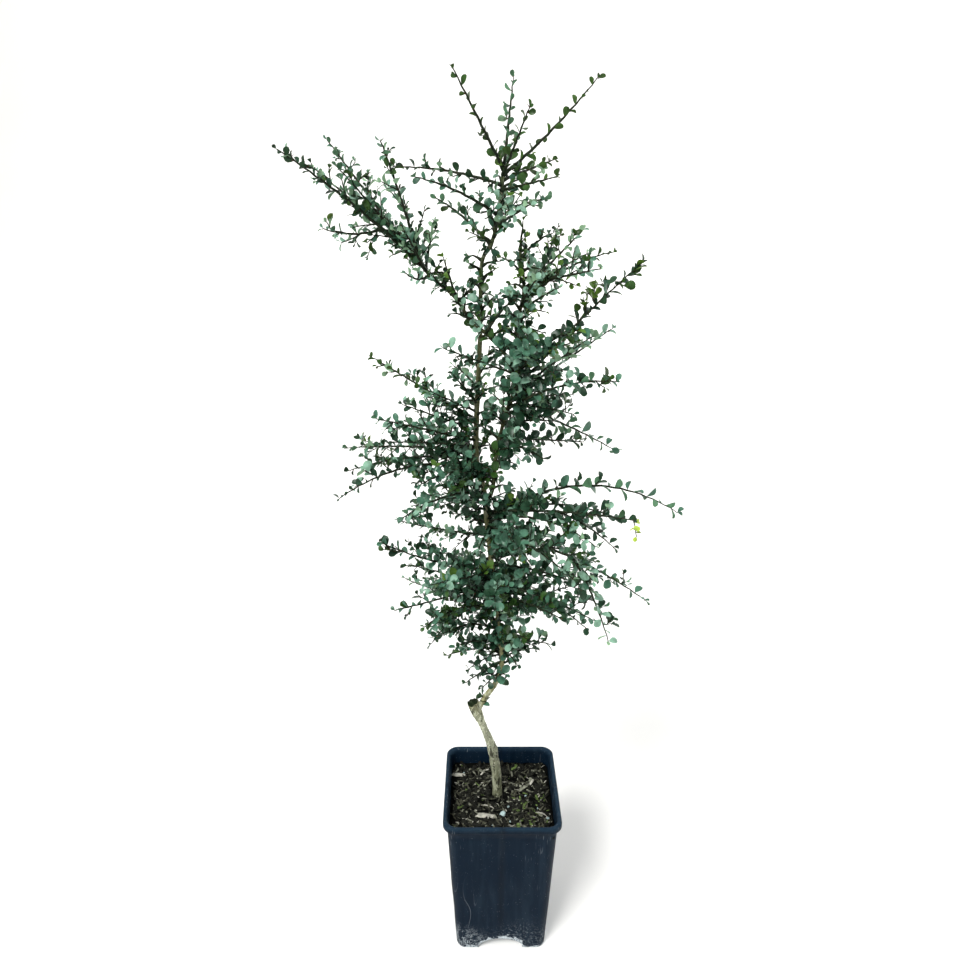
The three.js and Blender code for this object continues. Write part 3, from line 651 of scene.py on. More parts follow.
def trunk_bark(bark):
    """Grey-tan fissured bark at the foot, olive-tan on the stem and green towards the top"""
    finish = Finish("trunk_bark", bark.stem, 0.8, 0.12)
    height = finish.place("Z")
    wander = finish.speckle(38, 3, 0.6)
    flakes = finish.speckle((240, 240, 62), 4, 0.65)
    strips = finish.speckle((170, 170, 26), 4, 0.65)
    bites = finish.speckle((200, 200, 100), 3, 0.6)
    climb = height + 0.05 * wander
    old = climb.between(0.5, 0.37)

    colour = finish.mixed(climb.between(0.36, 0.44), bark.foot, bark.stem)
    colour = finish.mixed(climb.between(0.52, 1.02), colour, bark.young)
    algae = height.between(0.305, 0.25) * (0.45 + 0.5 * wander)
    colour = finish.mixed(algae, colour, bark.stain)
    shown = (0.25 + 0.75 * old) * (1 - 0.6 * algae)
    colour = finish.mixed(flakes.between(0.5, 0.58) * shown, colour, toned(bark.foot, 1.85, 0.03))
    cracks = strips.between(0.45, 0.41) * (0.3 + 0.55 * old)
    cracks = cracks.most(bites.between(0.57, 0.61) * old * 0.75)
    colour = finish.mixed(cracks, colour, bark.fissure)
    freckles = finish.speckle(1100, 1, 0.4).between(0.62, 0.7) * (0.35 + 0.45 * old)
    colour = finish.mixed(freckles, colour, bark.fissure)
    graft = abs(height - GRAFT_HEIGHT + 0.004 * wander).between(1.8 * MM, 0.7 * MM)
    # Dark at the graft ring and at the stub's mossy end, with a painted shadow on the stub's left side
    # below the end
    colour = finish.mixed((graft * 0.8).most(stub_end_and_painted_shadow(finish, bites)), colour, bark.broken)
    scar = abs(height - SCAR_HEIGHT).between(17 * MM, 11 * MM) * flakes.between(0.3, 0.5)
    colour = finish.mixed(scar * 0.75, colour, bark.foot)
    relief = finish.bumped(strips, 0.75, 1.1 * MM, finish.bumped(flakes, 0.6, 0.5 * MM))
    return finish.finished(colour, 0.62 + 0.3 * flakes, relief)


def young_bark(name, colour):
    """Smooth green-brown bark with pale lines and dark freckles"""
    finish = Finish(name, colour, 0.6, 0.15)
    lines = finish.speckle((700, 700, 90), 3, 0.6)
    patches = finish.speckle(55, 2, 0.5)
    brown = (colour[0] * 1.05, colour[1] * 0.85, colour[2] * 0.8)
    mottled = finish.mixed(patches.between(0.42, 0.62), colour, brown)
    mottled = finish.mixed(lines.between(0.55, 0.75) * 0.6, mottled, toned(colour, 1.6, 0.012))
    mottled = finish.mixed(lines.between(0.42, 0.3) * 0.6, mottled, toned(colour, 0.5))
    return finish.finished(mottled, 0.45 + 0.3 * lines, finish.bumped(lines, 0.35, 0.3 * MM))


def leaf_skin(name, colour, roughness):
    """A thick glossy leaf skin in one tint"""
    finish = Finish(name, colour, roughness, 0.22)
    cells = finish.speckle(700, 2, 0.5)
    patches = finish.speckle(120, 2, 0.5)
    mottled = finish.mixed(patches.between(0.35, 0.65), toned(colour, 0.8), toned(colour, 1.22, 0.004))
    return finish.finished(mottled, roughness - 0.06 + 0.12 * cells, finish.bumped(cells, 0.2, 0.2 * MM))


def underside_of(colour):
    """The matt underside of a leaf is a little paler and yellower"""
    return (colour[0] * 1.3 + 0.004, colour[1] * 1.2 + 0.004, colour[2] + 0.002)


# Meshes
def mesh_of(bm, name):
    """Makes a mesh of a plan, and lets the plan go."""
    mesh = bpy.data.meshes.new(name)
    bm.to_mesh(mesh)
    bm.free()
    return mesh


def shade_smooth(bm):
    for face in bm.faces:
        face.smooth = True


def finished_mesh(bm, name):
    """Turns a plan in millimetres into a mesh in metres."""
    bmesh.ops.scale(bm, vec=(MM, MM, MM), verts=bm.verts)
    bmesh.ops.recalc_face_normals(bm, faces=bm.faces)
    shade_smooth(bm)
    return mesh_of(bm, name)


def finished_piece(mesh, materials, nodes=()):
    """Puts a mesh into the scene, riding on the part's one body."""
    piece = bpy.data.objects.new(mesh.name, mesh)
    bpy.context.scene.collection.objects.link(piece)
    for material in materials:
        mesh.materials.append(material)
    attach(piece, "root")
    if nodes:
        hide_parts(*nodes)


def scattered(name, template, places):
    """One mesh in metres that holds a copy of a template, in millimetres, at each place."""
    count = len(places)
    mesh = bpy.data.meshes.new(name)
    sizes = {"": 0}
    for group in ("vertices", "edges", "loops", "polygons"):
        sizes[group] = len(getattr(template, group))
        getattr(mesh, group).add(count * sizes[group])

    def copied(group, field, width, kind, changed):
        values = np.empty(sizes[group] * width, dtype=kind)
        getattr(template, group).foreach_get(field, values)
        getattr(mesh, group).foreach_set(field, changed(values).ravel())

    def moved(corners):
        matrices = np.array([[list(row) for row in place] for place in places])
        turned = np.einsum("nij,vj->nvi", matrices[:, :3, :3], corners.reshape(-1, 3))
        return (turned + matrices[:, None, :3, 3]) * MM

    copied("vertices", "co", 3, np.float64, moved)
    for group, field, width, counted in (
        ("edges", "vertices", 2, "vertices"),
        ("loops", "vertex_index", 1, "vertices"),
        ("loops", "edge_index", 1, "edges"),
        ("polygons", "loop_start", 1, "loops"),
        ("polygons", "material_index", 1, ""),
    ):
        steps = np.arange(count)[:, None] * sizes[counted]
        copied(group, field, width, np.int32, lambda values: values + steps)
    copied("edges", "use_edge_sharp", 1, bool, lambda values: np.tile(values, count))
    mesh.update()
    return mesh


def joined(name, meshes):
    """One mesh out of several that are already in metres."""
    bm = bmesh.new()
    for mesh in meshes:
        bm.from_mesh(mesh)
        bpy.data.meshes.remove(mesh)
    shade_smooth(bm)
    return mesh_of(bm, name)


def tubes(name, lines, resolution):
    """One mesh in metres of round capped tubes. Each line is its points and radii in millimetres."""
    curve = bpy.data.curves.new(name, "CURVE")
    curve.dimensions = "3D"
    curve.bevel_depth = MM
    curve.bevel_resolution = resolution
    curve.use_fill_caps = True
    for points, radii in lines:
        spline = curve.splines.new("POLY")
        spline.points.add(len(points) - 1)
        for spot, point, radius in zip(spline.points, points, radii):
            spot.co = (point.x * MM, point.y * MM, point.z * MM, 1)
            spot.radius = radius
    holder = bpy.data.objects.new(name, curve)
    mesh = bpy.data.meshes.new_from_object(holder)
    mesh.name = name
    bpy.data.objects.remove(holder)
    bpy.data.curves.remove(curve)
    bm = bmesh.new()
    bm.from_mesh(mesh)
    bmesh.ops.remove_doubles(bm, verts=bm.verts, dist=1e-6)
    bmesh.ops.recalc_face_normals(bm, faces=bm.faces)
    for face in bm.faces:
        face.smooth = len(face.verts) == 4
    bm.to_mesh(mesh)
    bm.free()
    return mesh


# Pot
def column_place(index, half, arch_half, corner):
    """How far a column of the pot's plan lies from the middle, before its corners are rounded."""
    steps = abs(index)
    flat = half - corner
    if steps <= ARCH_COLUMNS:
        place = arch_half * math.sin(math.pi / 2 * steps / ARCH_COLUMNS)
    elif steps <= ARCH_COLUMNS + FLAT_COLUMNS:
        place = arch_half + (flat - arch_half) * (steps - ARCH_COLUMNS) / FLAT_COLUMNS
    else:
        place = flat + corner * (steps - ARCH_COLUMNS - FLAT_COLUMNS) / CORNER_COLUMNS
    return math.copysign(place, index)


def plan_place(column, row, half, arch_half, corner):
    """A point of the pot's square plan, with its corners rounded."""
    x = column_place(column, half, arch_half, corner)
    y = column_place(row, half, arch_half, corner)
    out_x = (abs(x) - (half - corner)) / corner
    out_y = (abs(y) - (half - corner)) / corner
    if min(out_x, out_y) <= 0:
        return x, y
    reach = max(out_x, out_y)
    angle = math.pi / 4 * min(out_x, out_y) / reach
    near, far = math.sin(angle) * reach * corner, math.cos(angle) * reach * corner
    across, along = (far, near) if out_x >= out_y else (near, far)
    flat = half - corner
    return math.copysign(flat + across, x), math.copysign(flat + along, y)


def arch_height(distance, arch_half, height):
    share = min(abs(distance) / arch_half, 1)
    return height * math.sqrt(1 - share * share)


def floor_grid(bm, half, arch_half, height, corner, level):
    """A sheet at a level that rises over two crossing arched tunnels. Returns its border."""
    count = 2 * SIDE_COLUMNS
    made = bmesh.ops.create_grid(bm, x_segments=count, y_segments=count, size=SIDE_COLUMNS)["verts"]
    columns = {}
    for vert in made:
        column, row = round(vert.co.x), round(vert.co.y)
        x, y = plan_place(column, row, half, arch_half, corner)
        rise = max(arch_height(x, arch_half, height), arch_height(y, arch_half, height))
        vert.co = (x, y, max(rise, level))
        if max(abs(column), abs(row)) == SIDE_COLUMNS:
            columns[vert] = (column, row, vert.co.z)
    return columns


def raised_rows(bm, columns, rows, place):
    """Extrudes a loop of columns row by row. place gives a column's point in a row."""
    for row in rows:
        edges = dict.fromkeys(edge for vert in columns for edge in vert.link_edges)
        edges = [edge for edge in edges if edge.is_boundary and columns.keys() >= set(edge.verts)]
        before = {tuple(vert.co): kept for vert, kept in columns.items()}
        made = bmesh.ops.extrude_edge_only(bm, edges=edges)["geom"]
        verts = [item for item in made if isinstance(item, bmesh.types.BMVert)]
        columns = {vert: before[tuple(vert.co)] for vert in verts}
        for vert, kept in columns.items():
            vert.co = place(row, *kept)
    return columns


def shares(count):
    return [(i + 1) / count for i in range(count)]


def bulge(point, height):
    """The thin wall's slight waves and each face's shallow valley, none at the foot and the rim."""
    calm = math.sin(math.pi * min(max(point.z / height, 0), 1))
    across = min(abs(point.x), abs(point.y))
    return calm * (0.9 * noise.noise(point * 0.02) - 1.1 * math.exp(-((across / 5) ** 2)))


def make_pot(pot):
    rim_half, foot_half, top_half, arch_half = (
        width / MM / 2 for width in (pot.rim_width, pot.foot_width, pot.wall_top_width, pot.arch_width)
    )
    height, wall, corner, arch_rise, lip_depth = (
        size / MM for size in (pot.height, pot.wall, pot.corner_radius, pot.arch_height, pot.lip_depth)
    )
    lip_foot = height - lip_depth

    def wall_half(z):
        return foot_half + (top_half - foot_half) * z / lip_foot

    def skin(half, z, column, row, inset=0):
        """A point of the outer skin, or of the inner one that lies in by an inset."""
        plan_half = foot_half - inset
        x, y = plan_place(column, row, plan_half, arch_half + inset, corner - inset)
        point = Vector((x * half / plan_half, y * half / plan_half, z))
        return point + Vector((x, y, 0)).normalized() * bulge(point, height)

    def foot_row(row, column, line, base):
        rise, inset = row
        return skin(wall_half(base + rise) - inset, base + rise, column, line)

    def wall_row(share, column, line, base):
        low = base + FOOT_ROUNDING[-1][0]
        z = low + (lip_foot - LIP_GAP - low) * share
        return skin(wall_half(z), z, column, line)

    def rim_row(row, column, line, base):
        drop, inset = row
        return skin(rim_half + inset, height + drop, column, line)

    def inner_row(share, column, line, base):
        low = base + INNER_FLOOR_ROUNDING
        z = low + (height - INNER_RIM_DEPTH - low) * share
        return skin(wall_half(z) - wall, z, column, line, wall)

    bm = bmesh.new()
    outer_half = foot_half - FOOT_ROUNDING[0][1] - FLOOR_MARGIN
    columns = floor_grid(bm, outer_half, arch_half, arch_rise, corner, 0)
    outer_rows = ((FOOT_ROUNDING, foot_row), (shares(WALL_ROWS), wall_row), (RIM_PROFILE, rim_row))
    for rows, place in outer_rows:
        columns = raised_rows(bm, columns, rows, place)
    turned_in = raised_rows(bm, columns, [1], inner_row)
    inner_half = foot_half - wall - INNER_FLOOR_ROUNDING
    floor = floor_grid(bm, inner_half, arch_half + wall, arch_rise + wall, corner - wall, wall)
    inner = raised_rows(bm, floor, shares(INNER_ROWS), inner_row)
    bmesh.ops.remove_doubles(bm, verts=[*turned_in, *inner], dist=0.05)
    finished_piece(finished_mesh(bm, "pot_shell"), [pot_plastic(pot)], ["pot"])


# Soil
def soil_rise(x, y, relief):
    """How far the mix stands above or below its level, in millimetres."""
    point = Vector((x, y, 0))
    lumps = noise.fractal(point * 0.05, 0.8, 2.1, 3)
    grains = noise.noise(point * 0.4)
    return relief * (0.8 * lumps + 0.45 * grains)


def soil_body(soil):
    """The mix, with a lumpy top, a little narrower below."""
    level = soil.level / MM
    half = SOIL_CORNER.x / MM - SOIL_CLEARANCE
    bottom = level - SOIL_DEPTH
    share = (half - SOIL_TAPER) / half
    bm = bmesh.new()
    columns = floor_grid(bm, half, half / 2, 0, SOIL_ROUNDING, level)

    def lower_row(row, column, line, base):
        x, y = plan_place(column, line, half, half / 2, SOIL_ROUNDING)
        return Vector((x * share, y * share, bottom))

    lowest = raised_rows(bm, columns, [0], lower_row)
    edges = dict.fromkeys(edge for vert in lowest for edge in vert.link_edges if edge.is_boundary)
    bmesh.ops.contextual_create(bm, geom=list(edges))
    top_edges = [edge for edge in bm.edges if all(vert.co.z > bottom + 1 for vert in edge.verts)]
    bmesh.ops.subdivide_edges(bm, edges=top_edges, cuts=1, use_grid_fill=True)
    for vert in bm.verts:
        if vert.co.z > bottom + 1:
            vert.co.z += soil_rise(vert.co.x, vert.co.y, soil.relief / MM)
    return finished_mesh(bm, "potting_mix")


def lump_template(name, seed, shape, roughness, roundness=0.35):
    """A broken lump, as large as its shape in millimetres."""
    bm = bmesh.new()
    bmesh.ops.create_cube(bm, size=1)
    bmesh.ops.subdivide_edges(bm, edges=bm.edges, cuts=1, use_grid_fill=True)
    noise.seed_set(seed)
    for vert in bm.verts:
        jolt = noise.noise_vector(vert.co * 1.7 + Vector((seed, 2 * seed, 0)))
        vert.co = vert.co.lerp(vert.co.normalized() * 0.6, roundness) + jolt * roughness
    bmesh.ops.scale(bm, vec=shape, verts=bm.verts)
    return template_mesh(bm, name)


def shred_template(name, length, width, bend):
    """A curved pointed sliver along X, lying flat."""
    bm = bmesh.new()
    bmesh.ops.create_cube(bm, size=1)
    long_edges = [edge for edge in bm.edges if edge.verts[0].co.x * edge.verts[1].co.x < 0]
    bmesh.ops.subdivide_edges(bm, edges=long_edges, cuts=3)
    for vert in bm.verts:
        across = vert.co.x * 2
        slim = 1 - 0.75 * abs(across) ** 1.5
        rise = bend * (1 - across * across)
        vert.co = (vert.co.x * length, vert.co.y * width * slim + rise, vert.co.z * width * 0.5 * slim)
    return template_mesh(bm, name)


def template_mesh(bm, name):
    """A small mesh, still in millimetres, for copying many times."""
    bmesh.ops.recalc_face_normals(bm, faces=bm.faces)
    return mesh_of(bm, name)


def set_on(soil, x, y, lift):
    """A place on the lumps of the mix, lifted a little."""
    z = soil.level / MM + soil_rise(x, y, soil.relief / MM) + lift
    return Matrix.Translation((x, y, z))


def laid(soil, x, y, turn, size):
    """One place on the mix, turned by degrees from the right."""
    turned = Matrix.Rotation(math.radians(turn), 4, "Z")
    return set_on(soil, x, y, LAID_LIFT) @ turned @ Matrix.Scale(size, 4)


def strewn(soil, chance, count, sizes, tilt, rows=(), area=None):
    """Random places on the mix, clear of the trunk, and then those that are laid by rows."""
    half = SOIL_CORNER.x / MM - WALL_GAP
    low_x, high_x, low_y, high_y = area or (-half, half, -half, half)
    places = []
    while len(places) < count:
        x = chance.uniform(low_x, high_x)
        y = chance.uniform(low_y, high_y)
        if math.dist((x, y), TRUNK_FOOT) < CLEAR_OF_TRUNK:
            continue
        size = chance.uniform(*sizes)
        turn = Matrix.Rotation(chance.uniform(0, 2 * math.pi), 4, "Z")
        lean, roll = (Matrix.Rotation(chance.gauss(0, tilt), 4, axis) for axis in "XY")
        places.append(set_on(soil, x, y, STREWN_LIFT) @ turn @ (lean @ roll) @ Matrix.Scale(size, 4))
    return places + [laid(soil, *row) for row in rows]


def on_mix(name, templates, places, material):
    """Copies of several templates in turn, as one piece that lies on the mix."""
    parts = []
    for i, template in enumerate(templates):
        parts.append(scattered(name, template, places[i::len(templates)]))
        bpy.data.meshes.remove(template)
    finished_piece(joined(name, parts), [material])


def make_soil(soil):
    chance = Random(MIX_SEED)
    mix = crumbly("potting_mix", soil.mix, 0.35, 420)
    finished_piece(soil_body(soil), [mix], ["soil"])

    chips = [lump_template("chip", seed, shape, 0.22) for seed, shape in CHIPS]
    places = strewn(soil, chance, soil.bark_chips, (0.25, 1.1), 0.5)
    on_mix("bark_chips", chips, places, fibrous("bark_chips", soil.bark, (160, 700, 700)))

    shreds = [shred_template("shred", 15, 2.3, 0.9), shred_template("shred", 11, 1.7, -1.2)]
    places = strewn(soil, chance, soil.bark_chips, (0.4, 1.3), 0.4)
    on_mix("bark_shreds", shreds, places, fibrous("bark_shreds", soil.shred, (160, 900, 900)))

    flakes = [lump_template("flake", seed, shape, 0.2) for seed, shape in FLAKES]
    places = strewn(soil, chance, soil.flakes, (0.35, 1), 0.35, LARGE_FLAKES)
    on_mix("grey_flakes", flakes, places, fibrous("grey_flakes", soil.flake, (160, 700, 700)))

    slivers = [shred_template("sliver", 13, 1.2, 2), lump_template("sliver", 9, (11, 3, 1.8), 0.3, 0.7)]
    places = strewn(soil, chance, soil.pale_chips, (0.3, 0.95), 0.3, PALE_PIECES)
    on_mix("pale_wood", slivers, places, fibrous("pale_wood", soil.pale, (160, 900, 900)))

    grain = [lump_template("prill", 6, (4.2, 3.4, 2.4), 0.14, 0.9)]
    places = strewn(soil, chance, soil.prills, (0.3, 0.8), 0.6, LARGE_PRILLS)
    on_mix("feed_prills", grain, places, crumbly("feed_prills", soil.prill, 0.7, 500, 0.6))

    blades = [
        shred_template("blade", 10, 2.2, 1.6), shred_template("blade", 6, 2.6, 0.7),
        lump_template("blade", 3, (10, 3.8, 0.8), 0.1),
    ]
    places = strewn(soil, chance, soil.mosses, (0.5, 1.2), 0.5, area=GREEN_CORNER)
    places += strewn(soil, chance, soil.mosses, (0.3, 0.8), 0.5, GREEN_SCRAPS)
    on_mix("moss", blades, places, crumbly("moss", soil.moss, 0.5, 420, 0.7))


# Limbs
def smooth_line(bends, step):
    """Even points, a step apart, on a smooth line through a limb's bends."""
    places = [Vector(bend) for bend in bends]
    places = [2 * places[0] - places[1], *places, 2 * places[-1] - places[-2]]
    dense = [places[1]]
    for before, start, end, after in zip(places, places[1:], places[2:], places[3:]):
        pairs = ((before, start), (start, end), (end, after))
        first, middle, last = (math.sqrt((high - low).length) for low, high in pairs)
        leave = middle * ((start - before) / first - (end - before) / (first + middle)) + (end - start)
        arrive = middle * ((after - end) / last - (after - start) / (middle + last)) + (end - start)
        dense.extend(interpolate_bezier(start, start + leave / 3, end - arrive / 3, end, 13)[1:])
    gaps = [0] + [(high - low).length for low, high in zip(dense, dense[1:])]
    lengths = np.cumsum(gaps)
    spots = np.linspace(0, lengths[-1], max(2, round(lengths[-1] / step)) + 1)
    columns = [np.interp(spots, lengths, [point[axis] for point in dense]) for axis in range(3)]
    return [Vector(place) for place in zip(*columns)]


def limb(bends, girth, step):
    """A limb's line, and its half thickness at each point."""
    points = smooth_line(bends, step)
    levels, radii = zip(*girth)
    return points, [float(np.interp(point.z, levels, radii)) for point in points]


def spot_on(points, height):
    """Where a limb passes a height, or else its tip."""
    for low, high in zip(points, points[1:]):
        if high.z >= height:
            return low.lerp(high, (height - low.z) / (high.z - low.z))
    return points[-1].copy()


def fissured(bm, relief, swells):
    """Moves a limb's skin in and out: long fissures, slow swellings, and a collar at each shoot."""
    bm.normal_update()
    for vert in bm.verts:
        point = vert.co / MM
        age = min(max((560 - point.z) / 200, 0.25), 1)
        strips = noise.fractal(Vector((point.x * 0.5, point.y * 0.5, point.z * 0.075)), 0.8, 2.2, 3)
        swelling = noise.noise(point * 0.06)
        collar = sum(0.9 * math.exp(-((point - spot).length / 5) ** 2) for spot in swells)
        rise = relief * age * strips + 0.5 * age * swelling + min(collar, 0.9) * 0.6
        vert.co += vert.normal * rise * MM


def hollowed(bm, point, inward):
    """Pushes the end of the old stub in, and leaves its rim ragged."""
    end = min(bm.faces, key=lambda face: (face.calc_center_median() / MM - point).length)
    for thickness, depth in HOLLOW_STEPS:
        bmesh.ops.inset_region(bm, faces=[end], thickness=thickness * MM, use_even_offset=True)
        bmesh.ops.translate(bm, vec=inward * depth * MM, verts=end.verts)
    for vert in bm.verts:
        spot = vert.co / MM
        reach = (spot - point).length
        if reach < RAGGED_REACH:
            splinter = 3 * noise.noise(spot * 0.6) + 3.6 * noise.noise(spot * 1.1)
            lift = 1.1 * max(point.x - spot.x - 4, 0)
            vert.co -= inward * (splinter + lift) * MM * (1 - reach / RAGGED_REACH)


def limb_mesh(name, line, resolution, bark, swells, hollow=False):
    """A limb's barked mesh in metres, hollow at its end if it is the stub."""
    mesh = tubes(name, [line], resolution)
    bm = bmesh.new()
    bm.from_mesh(mesh)
    fissured(bm, bark.relief / MM, swells)
    if hollow:
        points = line[0]
        hollowed(bm, points[-1], (points[-2] - points[-1]).normalized())
    bm.to_mesh(mesh)
    bm.free()
    return mesh


def limb_lines():
    """The limbs that bear shoots, by name."""
    return {
        "trunk": limb(STEM_BENDS, STEM_GIRTH, 2.4),
        "right_leader": limb(RIGHT_BENDS, RIGHT_GIRTH, 2.4),
        "left_leader": limb(LEFT_BENDS, LEFT_GIRTH, 2.4),
    }


def make_limbs(bark):
    lines = limb_lines()
    swells = {name: [] for name in lines}
    for row in SHOOTS:
        swells[row[1]].append(spot_on(lines[row[1]][0], row[2]))
    stub = limb_mesh("stub", limb(STUB_BENDS, STUB_GIRTH, 1.6), 14, bark, [], hollow=True)
    stem = limb_mesh("stem", lines["trunk"], 8, bark, swells["trunk"])
    finished_piece(joined("trunk_bark", [stub, stem]), [trunk_bark(bark)], ["trunk"])
    young = young_bark("bough_bark", bark.young)
    for side in ("right", "left"):
        name = f"{side}_leader"
        mesh = limb_mesh(name, lines[name], 6, bark, swells[name])
        finished_piece(mesh, [young], [f"bough_{side}"])


# Growth of the shoots
def filling_shoots():
    """A shorter shoot between each two neighbours on one side of a limb."""
    rows = []
    for limb_name in FULLNESS:
        borne = sorted((row for row in SHOOTS if row[1] == limb_name), key=lambda row: row[2])
        for side in (-1, 1):
            facing = [row for row in borne if side * math.cos(math.radians(row[3])) > -0.01]
            for low, high in zip(facing, facing[1:]):
                if high[2] - low[2] <= WIDEST_FILLED and high[2] <= HIGHEST_FILLED:
                    rows.append(filling_shoot(low, high))
    return rows


def filling_shoot(low, high):
    """A shoot half way between two others, and shorter."""
    at, turn, reach, rise, arch, twig_reach = ((a + b) / 2 for a, b in zip(low[2:8], high[2:8]))
    if abs(low[3] - high[3]) > 180:
        turn += 180
    share = float(np.interp(at, *zip(*FULLNESS[low[1]])))
    sizes = (share * reach, share * rise, share * arch, FILLING_TWIGS * twig_reach)
    return ("filling", low[1], at, turn, *sizes)


def growth_of(name, root, turn):
    """The growth of a shoot, by its part of the crown and then by its kind."""
    if root.z > UPPER_CROWN_FROM:
        growth = dict(GROWTH["upper"])
    else:
        growth = dict(GROWTH["left" if math.cos(math.radians(turn)) < -0.2 else "right"])
    if root.z < FOOT_OF_CROWN_TO:
        growth.update(GROWTH["foot"])
    for kind, names in KINDS.items():
        if name in names:
            growth.update(GROWTH[kind])
    return growth


class Crown:
    """Every stem, leaf, thorn and bud on the limbs, gathered by kind."""

    def __init__(self, foliage):
        self.foliage = foliage
        self.stems = []
        self.twigs = []
        self.leaves = {tone: [[] for _ in LEAF_SHAPES] for tone in TONES}
        self.thorns = []
        self.buds = []
        lines = {name: line[0] for name, line in limb_lines().items()}
        for index, row in enumerate(SHOOTS + filling_shoots()):
            self.grow_shoot(row, Random(foliage.seed + index), lines[row[1]])
        for limb_name, parts in SPURS.items():
            chance = Random(foliage.seed + len(limb_name))
            for part in parts:
                self.grow_spurs(chance, limb_name, lines[limb_name], *part)

    def grow_spurs(self, chance, limb_name, limb_points, low, high, space, least, most, twig_reach):
        """Short leafy spurs all the way up one part of a limb."""
        for i in range(int((high - low) / space)):
            turn = i * GOLDEN_TURN + 30 * chance.random()
            reach = least + (most - least) * chance.random() ** 1.5
            rise = reach * chance.uniform(-0.1, 0.9)
            row = ("spur", limb_name, low + i * space, turn, reach, rise, 0.1 * reach, twig_reach)
            self.grow_shoot(row, chance, limb_points)

    def grow_shoot(self, row, chance, limb_points):
        """A shoot's stem along its arch, and the fork that some have."""
        name, limb_name, at, turn, reach, rise, arch, twig_reach, *forks = row
        root = spot_on(limb_points, at)
        growth = growth_of(name, root, turn)
        twig_reach *= TWIG_GROWTH[limb_name] * OWN_TWIG_GROWTH.get(name, 1)
        twig_reach *= growth["twigs"]
        spacing = growth["spacing"]
        radius = growth["stem"] + math.hypot(reach, rise) / 300
        points = arching_line(root, turn, reach, rise, arch, spacing)
        self.grow_stem(chance, points, radius, twig_reach, 0, growth)
        for fork_at, fork_turn, fork_reach, fork_rise, fork_arch in forks:
            start = points[round(fork_at * (len(points) - 1))]
            line = arching_line(start, fork_turn, fork_reach, fork_rise, fork_arch, spacing)
            self.grow_stem(chance, line, 0.85 * radius, twig_reach, 0, growth)
        if name == FRESH_SHOOT:
            fresh = GROWTH["fresh"]
            line = arching_line(points[-1], turn, 5, FRESH_DROOP, 2, fresh["spacing"])
            self.grow_stem(chance, line, 0.8, 0, DEEPEST_ORDER, fresh)

    def grow_stem(self, chance, points, radius, twig_reach, order, growth):
        """One stem or twig, bent a little at each node, with what grows at its nodes."""
        phase = 360 * chance.random()
        tone = chance.choices(TONES, growth["tones"])[0]
        last = len(points) - 1
        bent = [points[0]]
        for i in range(1, last + 1):
            along = (points[i] - points[i - 1]).normalized()
            turn = phase + i * GOLDEN_TURN
            away = lean_out(along, 90, turn + 180, 0)
            node = points[i] + away * NODE_BEND * radius
            bent.append(node)
            share = i / last
            self.grow_node(chance, node, along, turn, share, tone, growth)
            is_twig_node = i % TWIG_EVERY == 1 and share < 0.9
            if is_twig_node and order < DEEPEST_ORDER:
                self.grow_twig(chance, node, along, turn + 30, share, twig_reach, order, growth)
        tip = (bent[-1] - bent[-2]).normalized()
        self.grow_leaf(chance, bent[-1], tip, phase, 0.5, tone, growth, 18)
        slim = radius if order == 0 else radius * 0.9
        radii = [slim + (TIP_RADIUS - slim) * (i / last) ** 1.6 for i in range(last + 1)]
        if order == 0:
            for i, swell in enumerate(ROOT_SWELL):
                radii[i] *= swell
        kept = self.twigs if order else self.stems
        kept.append((bent, radii))

    def grow_twig(self, chance, node, along, turn, share, reach, order, growth):
        """A side twig, shorter towards the tip of what bears it."""
        direction = lean_out(along, TWIG_ANGLE, turn, UP_PULL)
        length = reach * (1 - TWIG_TAPER * share) * (0.75 + 0.5 * chance.random())
        if length < SHORTEST_TWIG:
            return
        steps = max(2, round(length / growth["spacing"]))
        sag = UP * length * chance.uniform(-0.12, 0.16)
        points = []
        for i in range(steps + 1):
            part = i / steps
            points.append(node + direction * length * part + sag * part * part)
        radius = self.foliage.twig_radius / MM
        self.grow_stem(chance, points, radius * 0.8 ** order, 0.45 * reach, order + 1, growth)

    def grow_node(self, chance, node, along, turn, share, tone, growth):
        """A leaf, and at some nodes a thorn or a bud beside it."""
        young = 1 - 0.3 * share ** 3
        self.grow_leaf(chance, node, along, turn, young, tone, growth, LEAF_ANGLE)
        if chance.random() < THORN_SHARE:
            direction = lean_out(along, THORN_ANGLE, turn + 25, 0)
            length = self.foliage.thorn / MM * chance.uniform(0.6, 1.15)
            self.thorns.append(placed(node, direction, direction.cross(along).normalized(), length))
        if chance.random() < BUD_SHARE:
            direction = lean_out(along, BUD_ANGLE, turn - 15, 0)
            spot = node + direction * 1.1
            size = chance.uniform(0.6, 1.1)
            self.buds.append(placed(spot, direction, direction.cross(along).normalized(), size))

    def grow_leaf(self, chance, point, along, turn, share, tone, growth, lean):
        direction = lean_out(along, lean + 24 * (chance.random() - 0.5), turn, UP_PULL)
        outward = Vector((point.x, point.y, 0)).normalized()
        facing = outward * 0.45 + Vector([chance.random() - 0.5, chance.random() - 0.5, chance.random()])
        facing -= direction * facing.dot(direction)
        facing.normalize()
        size = growth["leaf"] * self.foliage.leaf_size * share * chance.uniform(0.72, 1.25)
        shape = chance.randrange(len(LEAF_SHAPES))
        self.leaves[tone][shape].append(placed(point, direction, facing, size))


def placed(point, direction, facing, size):
    """Turns a template that points along X and faces Z."""
    side = facing.cross(direction)
    turned = Matrix((direction, side, facing)).transposed() * size
    return Matrix.Translation(point) @ turned.to_4x4()


